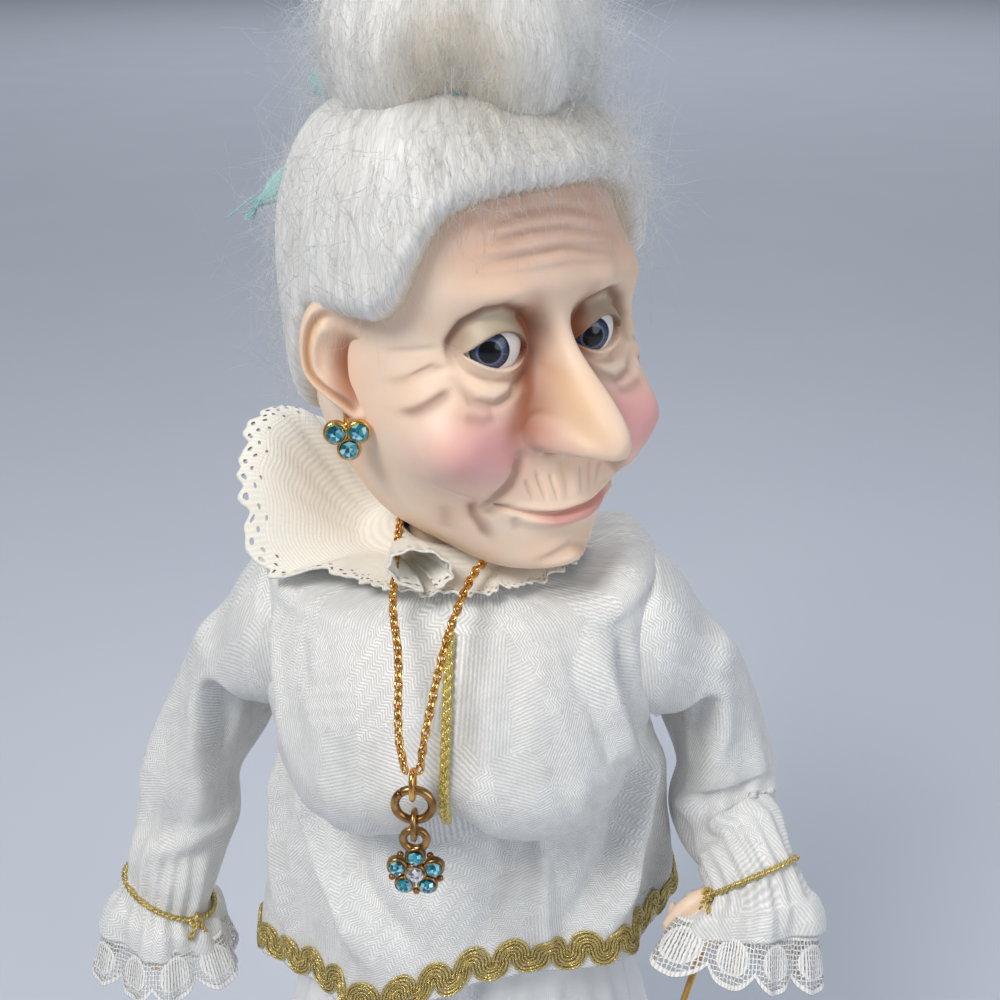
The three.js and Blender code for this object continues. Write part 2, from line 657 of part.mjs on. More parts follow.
// Rings of the head from the chin up, at its own size or grown on every side.
function skullRings(grown = 0) {
  const rows = [
    -CHIN_DROP, -CHIN_DROP + 1.6, -CHIN_DROP + 4, -29, -26, -23, -20, -18, -16, -14, -11, -8, -5, -2, 1, 4, 8,
    13, 19, 25, 30, CROWN_RISE - 3, CROWN_RISE - 0.5,
  ];
  return rows.map((z) => headAngles(HEAD_POINTS).map((angle) =>
    headPoint(angle, z, grown).add(vec(0, 0, grown * smooth(z, 10, CROWN_RISE)))));
}

// The moulded head: neck plug, jaw, face and ears in one, with a hollow for each eye.
function head() {
  const neckLow = TORSO_TOP_Z + 2 * FIT - EYE_Z;
  const neckRing = (z) => headAngles(HEAD_POINTS).map((angle) =>
    vec(NECK_RADIUS * Math.cos(angle), NECK_RADIUS * Math.sin(angle), z));
  const skull = stack([neckRing(neckLow), neckRing(-CHIN_DROP - 1.5), ...skullRings()]);
  const hollows = [-1, 1].map((side) =>
    ball(Array(3).fill(EYE_RADIUS + FIT), [side * EYE_SPREAD, -EYE_DEPTH, 0], 14, 10));
  const studHoles = [-1, 1].map((side) => earringStud(side, FIT));
  return cut(joined(skull, ear(-1), ear(1)), ...hollows, ...studHoles);
}

// The outside of the combed hair: the bald head grown, flattened a little where the bun sits.
function hairRings(grown) {
  const heights = [-20, -14, -4, 6, 14, 22, 29, 33, CROWN_RISE + 1];
  return heights.map((z) => {
    const size = (key) => along(HEAD_STATIONS, z - (z > 0 ? 3.2 * (z / CROWN_RISE) ** 2 : 0), key) + grown;
    const [half, front, back] = ["half", "front", "back"].map(size);
    const lifted = z + (z > 20 ? 1.5 : 0);
    return round(24).map((angle) => vec(...ovalPoint(half, front, back, HEAD_FULLNESS, angle), lifted));
  });
}

// The opening that the hair leaves for the face: in front of a line from the ears up to the forehead.
function faceOpening() {
  const sideburn = [[-4, -45], [-4, 0], [-12, 3], [-17.5, 14]];
  const hairline = [...sideburn, [-20.5, 20], [-23, HAIRLINE_RISE], [-70, HAIRLINE_RISE + 2]];
  const outline = new THREE.Shape([...hairline, [-70, -45]].map(([y, z]) => new THREE.Vector2(y, z)));
  const block = new THREE.ExtrudeGeometry(outline, { depth: 90, bevelEnabled: false });
  return block.rotateX(Math.PI / 2).rotateZ(Math.PI / 2).translate(-45, 0, 0);
}

// The room that the hair leaves round both ears, as a block across the head below their tops.
function earOpening() {
  const [front, back] = [-8, EAR.y + EAR.deep];
  const [low, high] = [-45, EAR.z + 0.6 * EAR.tall];
  const block = new THREE.BoxGeometry(90, back - front, high - low);
  return block.translate(0, (front + back) / 2, (low + high) / 2);
}

// The combed hair as a cap round the skull, open for the face and over the ears.
function hairCap() {
  const ears = [ear(-1, FIT), ear(1, FIT)];
  return cut(stack(hairRings(HAIR)), stack(skullRings(2 * FIT)), faceOpening(), earOpening(), ...ears);
}

// The bun: a squat round of hair, drawn in where the ribbon ties it.
function bun() {
  const low = CROWN_RISE - BUN_SINK;
  const shape = [[0.62, 0], [0.86, 0.1], [1, 0.34], [0.97, 0.58], [0.78, 0.84], [0.44, 0.97], [0.12, 1]];
  const rings = shape.map(([r, t]) => round(24).map((angle) => {
    const swirl = 1 + 0.035 * Math.cos(3 * angle + 5 * t);
    const reach = BUN_RADIUS * r * swirl;
    const [x, y] = [reach * Math.cos(angle), 0.92 * reach * Math.sin(angle)];
    return vec(x + BUN_X, y + BUN_Y, low + BUN_HEIGHT * t);
  }));
  const seat = hairRings(HAIR + FIT).map((ring) => ring.map((p) => p.add(vec(0, 0, FIT))));
  return cut(stack(rings), stack(seat));
}

// The turquoise ribbon's bow behind the bun: two loops, a knot and two tails in one.
function ribbon() {
  const knot = vec(BUN_X - 3.6, BUN_Y + BUN_RADIUS + 5.1, CROWN_RISE - 2);
  const near = (x, y, z) => knot.clone().add(vec(x, y, z));
  const loop = (lean) => new THREE.TorusGeometry(3.6, 1, 5, 10)
    .scale(1.15, 0.7, 1)
    .rotateX(Math.PI / 2)
    .translate(...near(lean * 5, 0, 1.5));
  const tail = (x, drop) => {
    const route = [near(0, 0, 0), near(0.5 * x, 4.8, -0.4 * drop), near(x, 4.2, -drop)];
    return tube(new THREE.CatmullRomCurve3(route), 1.2, 5, 4);
  };
  return joined(ball([2.6, 2.4, 2.4], knot.toArray(), 8, 6), loop(-1), loop(1), tail(-19, 19), tail(9, 17));
}

// Earrings: three stones on a plate, with a stud into the ear lobe. Built facing -Y, then turned to the ear.
const EARRING_LAYOUT = [[-EARRING_STONE - 0.3, 0.6], [EARRING_STONE + 0.3, 0.6], [0.2, -2.3]];
const LOBE = { x: 27, y: -3.6, z: -15.5, face: 32 };
const EARRING_OUT = 3.4;
const STUD_RISE = 1.6;

function onLobe(geometry, side) {
  return geometry.rotateZ(rad(side * LOBE.face)).translate(side * LOBE.x, LOBE.y, LOBE.z);
}

function earringStud(side, grown = 0) {
  const from = vec(0, FIT - EARRING_OUT, STUD_RISE);
  return onLobe(rod(from, vec(0, EARRING_OUT + grown, STUD_RISE), 0.5 + grown, 8), side);
}

function earringSetting(side) {
  const cups = EARRING_LAYOUT.map(([x, z]) => settingCup(EARRING_STONE + SETTING_RIM, x, z));
  const plate = joined(...cups).translate(0, -EARRING_OUT, 0);
  return joined(onLobe(plate, side), earringStud(side));
}

function earringStone(side, k) {
  const [x, z] = EARRING_LAYOUT[k];
  const front = -EARRING_OUT - SETTING_THICK / 2 - FIT;
  return onLobe(stone(EARRING_STONE).translate(x, front, z), side);
}

// Arms

// Places on each arm's middle line below the shoulder, and the sleeve's radius there.
const ARM_PITCH = { 1: "left", [-1]: "right" };
const FOREARM = {
  left: [
    { at: [49.8, 1.5, 175], sleeve: 11 },
    { at: [52.5, -1, 163.5], sleeve: 11.5 },
    { at: [54.6, -6.6, 157.8], sleeve: 10.6 },
    { at: [56.9, -10.8, 155.4], sleeve: 7.4 },
  ],
  right: [
    { at: [51.6, 1, 174], sleeve: 11.4 },
    { at: [57, -1.5, 160], sleeve: 11.6 },
    { at: [61, -5, 148], sleeve: 10.8 },
    { at: [62.6, -7.4, 141], sleeve: 9.8 },
  ],
};
const WRIST = {
  left: {
    at: [57.8, -17.4, 151.3], toHand: [-0.66, -0.48, -0.58], fall: [-0.49, -0.55, -0.675],
    frill: 11.9, lace: 14.3,
  },
  right: {
    at: [63.4, -9, 135.5], toHand: [-0.08, -0.18, -0.98], fall: [0, -0.16, -0.98],
    frill: 11.3, lace: 14.6,
  },
};

// The wrist's place, the ways of hand and cuff, and the cuff's radii: side 1 is her left, side -1 her right.
function wristOf(side) {
  const { at, toHand, fall, frill, lace } = WRIST[ARM_PITCH[side]];
  const mirrored = ([x, y, z]) => vec(side * x, y, z);
  const [along, down] = [toHand, fall].map((way) => mirrored(way).normalize());
  return { at: mirrored(at), along, fall: down, frill, lace };
}

// Rings round a path of places, each { at, along, wide, deep }, without twist from one to the next.
function pathRings(places, n, wave = () => 1) {
  let across = vec(0, 1, 0);
  return places.map(({ at, along: tangent, wide, deep }, i) => {
    across = across.clone().addScaledVector(tangent, -across.dot(tangent)).normalize();
    const up = tangent.clone().cross(across);
    return round(n).map((angle) => {
      const fold = wave(angle, i / (places.length - 1));
      return at
        .clone()
        .addScaledVector(across, wide * fold * Math.cos(angle))
        .addScaledVector(up, deep * fold * Math.sin(angle));
    });
  });
}

// The bend from the armhole to the hanging arm: rings that fan out about the armpit, whose top follows
// a straight slope. Slope 0 would keep the top level, and 1 makes it fall at half a right angle.
function shoulderBend(side, radius, head, slope, angles) {
  const pit = vec(side * (SHOULDER_HALF + FIT), SHOULDER_Y, SHOULDER_Z - radius);
  return angles.map((degrees) => {
    const [c, s] = [Math.cos(rad(degrees)), Math.sin(rad(degrees))];
    const deep = head / (c + slope * s);
    const at = pit.clone().addScaledVector(vec(side * s, 0, c), deep);
    return { at, along: vec(side * c, 0, -s), wide: radius, deep };
  });
}

// The places past the shoulder bend, with the direction at each taken from its neighbours.
function armPlaces(side) {
  const wrist = wristOf(side);
  const line = FOREARM[ARM_PITCH[side]].map(({ at }) => vec(side * at[0], at[1], at[2]));
  const points = [...line, wrist.at];
  return points.map((at, i) => {
    const before = points[Math.max(i - 1, 0)];
    const after = points[i + 1] ?? at.clone().add(wrist.along);
    return { at, along: after.clone().sub(before).normalize() };
  });
}

// The one-piece vinyl arm: a peg that turns in the torso, the limb and the hand.
function arm(side) {
  const upper = ARM_RADIUS + 1.5;
  const bend = shoulderBend(side, upper, upper, 0.8, [0, 30, 60]);
  const places = armPlaces(side);
  const limb = places.map((place, i) => {
    const r = THREE.MathUtils.lerp(ARM_RADIUS, WRIST_RADIUS, i / (places.length - 1));
    return { ...place, wide: r, deep: r };
  });
  const wrist = wristOf(side);
  const palmPoint = wrist.at.clone().addScaledVector(wrist.along, 6);
  const palm = { at: palmPoint, along: wrist.along, wide: 5, deep: 4.6 };
  const peg = rod(
    shoulderPoint(side * (SHOULDER_HALF - PEG_LENGTH)),
    shoulderPoint(side * (SHOULDER_HALF + 4)),
    PEG_RADIUS,
    16,
  );
  const body = joined(stack(pathRings([...bend, ...limb, palm], 12)), peg, ...handPieces(side));
  return side > 0 ? cut(body, wandHole()) : body;
}

// Palm, curled fingers and thumb about the hand's own direction.
function handPieces(side) {
  const wrist = wristOf(side);
  const down = wrist.along;
  const across = vec(0, 0, 1).addScaledVector(down, -down.z).normalize();
  if (Math.abs(down.z) > 0.8) across.set(0, 1, 0).addScaledVector(down, -down.y).normalize();
  const inward = down.clone().cross(across).multiplyScalar(side);
  const at = (a, b, c) => wrist.at.clone()
    .addScaledVector(down, a).addScaledVector(across, b).addScaledVector(inward, c);
  const turn = new THREE.Matrix4().makeBasis(down, across, down.clone().cross(across));
  const palm = ball([8, 6, 4.2], [0, 0, 0], 10, 8).applyMatrix4(turn).translate(...at(10, 0, 0));
  const rows = [-4.2, -1.4, 1.4, 4.2];
  const fingers = rows.map((b) => finger(at(14.5, b, 0), at(19.5, b * 0.9, 3.6), 1.75));
  const tips = rows.map((b) => finger(at(19.5, b * 0.9, 3.6), at(16.5, b * 0.85, 7.2), 1.6));
  const thumb = finger(at(13, 3.4, 0), at(19, 4.4, 4.4), 1.8);
  return [palm, ...fingers, ...tips, thumb];
}

// Folds round a sleeve: shallow at the shoulder, gathered in small pleats at the tie.
function sleeveFold(angle, t) {
  const folds = 0.035 * smooth(t, 0.1, 0.5) * Math.cos(5 * angle + 6 * t);
  const pleats = 0.03 * smooth(t, 0.75, 0.9) * Math.cos(11 * angle);
  return 1 + folds + pleats;
}

// A ring of a cuff: so far below the tie, where the cloth falls, and so wide.
function cuffPlace(side, distance, r) {
  const { at, fall } = wristOf(side);
  return { at: at.clone().addScaledVector(fall, distance), along: fall, wide: r, deep: r };
}

// The sleeve in one piece of cloth: armhole, fullness to the elbow, the tie and the frill below it.
function sleeve(side) {
  const places = armPlaces(side);
  const { frill } = wristOf(side);
  const full = FOREARM[ARM_PITCH[side]].map(({ sleeve: r }, i) => ({ ...places[i], wide: r, deep: r }));
  const rings = pathRings([
    ...shoulderBend(side, SLEEVE_RADIUS, SLEEVE_HEAD, SHOULDER_SLOPE, [0, 22, 45, 68]),
    ...full,
    cuffPlace(side, 0, TIE_RADIUS),
    cuffPlace(side, 0.5 * FRILL_DROP, 0.5 * (TIE_RADIUS + frill)),
    cuffPlace(side, FRILL_DROP, frill),
  ], 18, sleeveFold);
  return cloth(rings, CLOTH);
}

// The gold cord knotted round the sleeve at the wrist.
function cuffCord(side) {
  const { at, fall } = wristOf(side);
  const turn = new THREE.Quaternion().setFromUnitVectors(vec(0, 0, 1), fall);
  return new THREE.TorusGeometry(1.1 * TIE_RADIUS + FIT + CORD_RADIUS, CORD_RADIUS, 5, 22)
    .applyQuaternion(turn)
    .translate(...at);
}

// The lace edging that hangs from the frill.
function cuffLace(side) {
  const pleats = (angle, t) => 1 + (0.03 + 0.03 * t) * Math.cos(11 * angle);
  const { frill, lace } = wristOf(side);
  const rings = pathRings([
    cuffPlace(side, FRILL_DROP + 2 * FIT, frill),
    cuffPlace(side, FRILL_DROP + CUFF_LACE_DROP / 2, 0.6 * lace + 0.4 * frill),
    cuffPlace(side, FRILL_DROP + CUFF_LACE_DROP, lace),
  ], 33, pleats);
  return cloth(rings, LACE);
}

// Wand

// The wand's line: the point in the left hand that it passes through, and the way that it points.
function wandLine() {
  const wrist = wristOf(1);
  const grip = wrist.at.clone().addScaledVector(wrist.along, 14).add(vec(1, 0.4, -0.6));
  return { grip, points: vec(-0.34, -0.52, -0.79).normalize() };
}

function wandHole() {
  const { grip, points } = wandLine();
  const along = (distance) => grip.clone().addScaledVector(points, distance);
  return rod(along(-WAND_ABOVE_HAND - FIT), along(20), WAND_RADIUS + FIT, 10);
}

function wandRod() {
  const { grip, points } = wandLine();
  const from = grip.clone().addScaledVector(points, -WAND_ABOVE_HAND);
  return rod(from, grip.clone().addScaledVector(points, WAND_LENGTH - WAND_ABOVE_HAND), WAND_RADIUS, 10);
}

// The five-pointed star on the wand's end, in the wand's own plane.
function wandStar() {
  const { grip, points } = wandLine();
  const outline = new THREE.Shape();
  for (let k = 0; k < 10; k++) {
    const angle = Math.PI / 2 + (Math.PI * k) / 5;
    const r = k % 2 ? 0.46 * STAR_RADIUS : STAR_RADIUS;
    if (k === 0) outline.moveTo(r * Math.cos(angle), r * Math.sin(angle));
    else outline.lineTo(r * Math.cos(angle), r * Math.sin(angle));
  }
  const plate = new THREE.ExtrudeGeometry(outline, {
    depth: STAR_THICK - 1.2,
    bevelThickness: 0.6,
    bevelSize: 0.6,
    bevelOffset: -0.6,
    bevelSegments: 1,
  }).translate(0, 0, 0.6 - STAR_THICK / 2);
  const side = vec(0, 0, 1).cross(points).normalize();
  const up = points.clone().negate();
  const basis = new THREE.Matrix4().makeBasis(side, up, side.clone().cross(up));
  const centre = grip.clone().addScaledVector(points, WAND_LENGTH - WAND_ABOVE_HAND + STAR_RADIUS + FIT);
  return plate.applyMatrix4(basis).translate(...centre);
}

// Finishes
const finish = (color, roughness, metalness = 0) => ({ color, roughness, metalness });
const SKIN = finish(0xf0c4a0, 0.5);
const WHITE_HAIR = finish(0xf2f0ea, 0.7);
const BROCADE = finish(0xeeeadf, 0.45);
const LACE_THREAD = finish(0xf1ecdf, 0.8);
const GOLD_THREAD = finish(0xb9962f, 0.35, 0.8);
const GILT = finish(0xc79a4b, 0.3, 1);
const AQUA_GLASS = finish(0x2f8fa8, 0.08);
const CLEAR_GLASS = finish(0xe6e8f2, 0.05);
const EYE_GLASS = finish(0xe9ecf4, 0.08);
const RIBBON = finish(0x8fd6cf, 0.6);
const WOOD = finish(0xc9a574, 0.7);
const MUSLIN = finish(0xe2d6c2, 0.85);
const STEEL_GREY = finish(0x9a958c, 0.6);

const doll = new THREE.Group();
const headGroup = new THREE.Group();
headGroup.position.set(0, 0, EYE_Z);
headGroup.rotation.z = rad(HEAD_TURN);
const pendantGroup = new THREE.Group();
pendantGroup.position.set(HANG_X, HANG_Y, FLOWER_Z);
doll.add(headGroup, pendantGroup);

function place(group, name, geometry, look) {
  const mesh = new THREE.Mesh(geometry, new THREE.MeshStandardMaterial(look));
  mesh.name = name;
  group.add(mesh);
}

place(doll, "base_disc", base(), WOOD);
place(doll, "centre_post", post(), WOOD);
place(doll, "torso", torso(), MUSLIN);
place(doll, "neck_socket", neckSocket(), STEEL_GREY);
place(doll, "skirt", skirt(), BROCADE);
place(doll, "tunic", tunic(), BROCADE);
place(doll, "hem_gimp", hemGimp(), GOLD_THREAD);
place(doll, "placket_braid", placketBraid(), GOLD_THREAD);
place(doll, "lace_ruff", laceRuff(), LACE_THREAD);
place(doll, "necklace_chain", necklaceChain(), GILT);
const hangingLink = (z) => wireRing(LINK_RADIUS, LINK_WIRE, [HANG_X, HANG_Y, z], 90, LINK_STRETCH);
place(doll, "chain_link", hangingLink(CHAIN_LINK_Z), GILT);
place(doll, "jump_ring", wireRing(JUMP_RING_RADIUS, JUMP_RING_WIRE, [HANG_X, HANG_Y, RING_Z], 0), GILT);
place(doll, "pendant_link", hangingLink(PENDANT_LINK_Z), GILT);
place(pendantGroup, "pendant_setting", pendantSetting(), GILT);
const stoneFront = -SETTING_THICK / 2 - FIT;
petals.forEach(([x, z], k) => {
  const petal = stone(PETAL_STONE).translate(x, stoneFront, z);
  place(pendantGroup, `pendant_petal_stone_${k + 1}`, petal, AQUA_GLASS);
});
place(pendantGroup, "pendant_centre_stone", stone(CENTRE_STONE).translate(0, stoneFront, 0), CLEAR_GLASS);

place(headGroup, "head", head(), SKIN);
place(headGroup, "hair_cap", hairCap(), WHITE_HAIR);
place(headGroup, "hair_bun", bun(), WHITE_HAIR);
place(headGroup, "hair_ribbon", ribbon(), RIBBON);
for (const side of [1, -1]) {
  const hand = ARM_PITCH[side];
  const eye = ball(Array(3).fill(EYE_RADIUS), [side * EYE_SPREAD, -EYE_DEPTH, 0], 14, 10);
  place(headGroup, `${hand}_eye`, eye, EYE_GLASS);
  place(headGroup, `${hand}_earring_setting`, earringSetting(side), GILT);
  EARRING_LAYOUT.forEach((_, k) =>
    place(headGroup, `${hand}_earring_stone_${k + 1}`, earringStone(side, k), AQUA_GLASS));
  place(doll, `${hand}_arm`, arm(side), SKIN);
  place(doll, `${hand}_sleeve`, sleeve(side), BROCADE);
  place(doll, `${hand}_cuff_cord`, cuffCord(side), GOLD_THREAD);
  place(doll, `${hand}_cuff_lace`, cuffLace(side), LACE_THREAD);
}
place(doll, "wand_rod", wandRod(), GILT);
place(doll, "wand_star", wandStar(), GILT);

export default doll;
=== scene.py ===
"""Looks of a standing fairy doll: skin, hair, cloth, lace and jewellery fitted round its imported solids.

Lengths are millimetres in the doll's own frame, with +Z up, her front towards -Y and her left towards +X.
They become metres only where a mesh is made.
"""

import logging
from dataclasses import dataclass, field
from enum import Enum

import bpy
import numpy as np
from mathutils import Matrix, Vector

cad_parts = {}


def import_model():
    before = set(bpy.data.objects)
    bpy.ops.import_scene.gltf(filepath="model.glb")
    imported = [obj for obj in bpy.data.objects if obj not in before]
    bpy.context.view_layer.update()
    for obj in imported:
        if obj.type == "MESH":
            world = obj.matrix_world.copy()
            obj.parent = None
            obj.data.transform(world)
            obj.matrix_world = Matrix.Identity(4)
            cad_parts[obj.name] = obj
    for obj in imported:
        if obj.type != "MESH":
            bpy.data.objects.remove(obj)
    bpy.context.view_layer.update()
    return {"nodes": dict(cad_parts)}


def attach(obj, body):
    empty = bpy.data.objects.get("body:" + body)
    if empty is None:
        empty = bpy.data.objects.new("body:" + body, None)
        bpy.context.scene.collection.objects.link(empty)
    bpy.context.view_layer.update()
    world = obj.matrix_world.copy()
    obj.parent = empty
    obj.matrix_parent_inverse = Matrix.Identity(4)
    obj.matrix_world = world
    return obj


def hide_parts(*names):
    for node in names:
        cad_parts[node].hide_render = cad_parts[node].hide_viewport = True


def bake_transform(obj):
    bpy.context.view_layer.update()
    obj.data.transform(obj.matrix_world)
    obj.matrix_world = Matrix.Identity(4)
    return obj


Array = np.ndarray
Colour = tuple[float, float, float, float]
MM = 0.001
TURN = 2 * np.pi
FRONT = -np.pi / 2
LOG = logging.getLogger("fairy_doll")


class Body(Enum):
    """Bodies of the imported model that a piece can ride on."""

    FIGURE = "figure"
    HEAD = "head"
    LEFT_ARM = "left_arm"
    RIGHT_ARM = "right_arm"
    RING = "ring"
    PENDANT = "pendant"


class Slot(Enum):
    """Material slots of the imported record."""

    SKIN = "skin"
    HAIR = "hair"
    BROCADE = "brocade"
    LACE = "lace"
    GOLD_THREAD = "gold_thread"
    GILT = "gilt"
    AQUA_GLASS = "aqua_glass"
    CLEAR_GLASS = "clear_glass"
    EYE_GLASS = "eye_glass"
    RIBBON = "ribbon"
    MUSLIN = "muslin"


class Side(Enum):
    """Her left and right, as the sign of X."""

    LEFT = 1
    RIGHT = -1

    @property
    def label(self) -> str:
        """The side's word in piece names."""
        return self.name.lower()

    @property
    def arm(self) -> Body:
        """The arm body on this side."""
        return Body.LEFT_ARM if self is Side.LEFT else Body.RIGHT_ARM


# Shapes


def smooth(x: Array, low: float, high: float) -> Array:
    """Soft step from 0 at low to 1 at high."""
    t = np.clip((x - low) / (high - low), 0, 1)
    return t * t * (3 - 2 * t)


def mound(x: Array, z: Array, at: tuple[float, float], size: tuple[float, float]) -> Array:
    """Round mound of height 1 on a plane.

    Args:
        x, z: places on the plane.
        at: the mound's middle.
        size: its half widths along x and z.
    Returns:
        The height at each place.
    """
    return np.exp(-(((x - at[0]) / size[0]) ** 2) - ((z - at[1]) / size[1]) ** 2)


def hump(x: Array, width: Array | float, power: float = 2) -> Array:
    """Bell of height 1 at 0, flatter on top for a higher power."""
    return np.exp(-((x / width) ** power))


def directions(count: int) -> Array:
    """Evenly spread angles of a whole turn, in radians."""
    return np.linspace(0, TURN, count, endpoint=False)


def spans(path: Array) -> Array:
    """Distances between neighbouring places of a path."""
    return np.linalg.norm(np.diff(path, axis=0), axis=1)


def apart(angle: Array, target: float) -> Array:
    """Angle between directions, in radians, never negative."""
    return np.abs((angle - target + np.pi) % TURN - np.pi)


def unit(vectors: Array) -> Array:
    """Vectors of length 1 along the last axis."""
    return vectors / np.maximum(np.linalg.norm(vectors, axis=-1, keepdims=True), 1e-9)


def through(table: Array, at: Array) -> Array:
    """Smooth curve through the rows of a table, held level past both ends.

    Args:
        table: rows of a rising key followed by the values there.
        at: keys to read.
    Returns:
        The values, with one more axis than the keys.
    """
    table = np.asarray(table, float)
    key, value = table[:, 0], table[:, 1:]
    before, after = np.r_[0, 0:len(key) - 1], np.r_[1:len(key), len(key) - 1]
    slope = (value[after] - value[before]) / (key[after] - key[before])[:, None]
    at = np.clip(np.asarray(at, float), key[0], key[-1])
    i = np.clip(np.searchsorted(key, at, side="right") - 1, 0, len(key) - 2)
    span = (key[i + 1] - key[i])[..., None]
    t = (at - key[i])[..., None] / span
    rise = value[i + 1] - value[i]
    bend = (1 - t) * slope[i] - t * slope[i + 1]
    return value[i] + rise * t + t * (1 - t) * (span * bend - (1 - 2 * t) * rise)


def curve(points: Array, count: int) -> Array:
    """Smooth path through points, with evenly spread places along it.

    Args:
        points: the places it passes, in order; further columns are carried along.
        count: how many places to return.
    Returns:
        The places, one per row.
    """
    points = np.asarray(points, float)
    key = np.r_[0, np.cumsum(np.sqrt(spans(points[:, :3])))]
    fine = through(np.c_[key, points], np.linspace(0, key[-1], 12 * len(points)))
    length = np.r_[0, np.cumsum(spans(fine[:, :3]))]
    even = np.linspace(0, length[-1], count)
    return np.stack([np.interp(even, length, column) for column in fine.T], 1)


def oval(half: Array, front: Array, back: Array, fullness: Array, angle: Array) -> tuple[Array, Array]:
    """Rounded-square section with its own depth in front and behind.

    Args:
        half, front, back: half width and the two depths.
        fullness: 2 for an ellipse, more for a squarer shape.
        angle: direction round the section.
    Returns:
        x and y of the section there.
    """
    c, s = np.cos(angle), np.sin(angle)
    depth = np.where(s < 0, front, back)
    power = 2 / fullness
    return half * np.sign(c) * np.abs(c) ** power, depth * np.sign(s) * np.abs(s) ** power


def on_line(x: Array, z: Array, line: Array, width: float) -> Array:
    """Cover of a soft drawn line: 1 on it, fading to its sides and towards its two ends.

    Args:
        x, z: places on a plane.
        line: the line's points.
        width: half width of the fade.
    Returns:
        The cover at each place.
    """
    line = np.asarray(line, float)
    steps = spans(line)
    start = np.r_[0, np.cumsum(steps)]
    cover = np.zeros(np.broadcast(x, z).shape)
    for a, b, step, begin in zip(line[:-1], line[1:], steps, start):
        along = ((x - a[0]) * (b - a)[0] + (z - a[1]) * (b - a)[1]) / step**2
        t = np.clip(along, 0, 1)
        away = (x - a[0] - t * (b - a)[0]) ** 2 + (z - a[1] - t * (b - a)[1]) ** 2
        share = (begin + t * step) / start[-1]
        end = smooth(np.minimum(share, 1 - share), -0.12, 0.2)
        cover = np.maximum(cover, end * np.exp(-away / width**2))
    return cover


def ripple(
    seed: int, angle: Array, height: Array, turns: tuple[int, int], rise: float, count: int = 9
) -> Array:
    """Sum of waves that close round a piece, between about -1 and 1.

    Args:
        seed: picks the waves.
        angle: direction round the piece.
        height: place along it.
        turns: fewest and most waves round it.
        rise: how fast the waves shift along it.
        count: how many waves are added.
    Returns:
        The sum at each place.
    """
    rng = np.random.default_rng(seed)
    few, many = turns
    waves = [
        (rng.integers(few, many + 1), rng.normal(0, rise), rng.uniform(0, TURN))
        for _ in range(count)
    ]
    return sum(np.sin(n * angle + k * height + phase) for n, k, phase in waves) / np.sqrt(count)


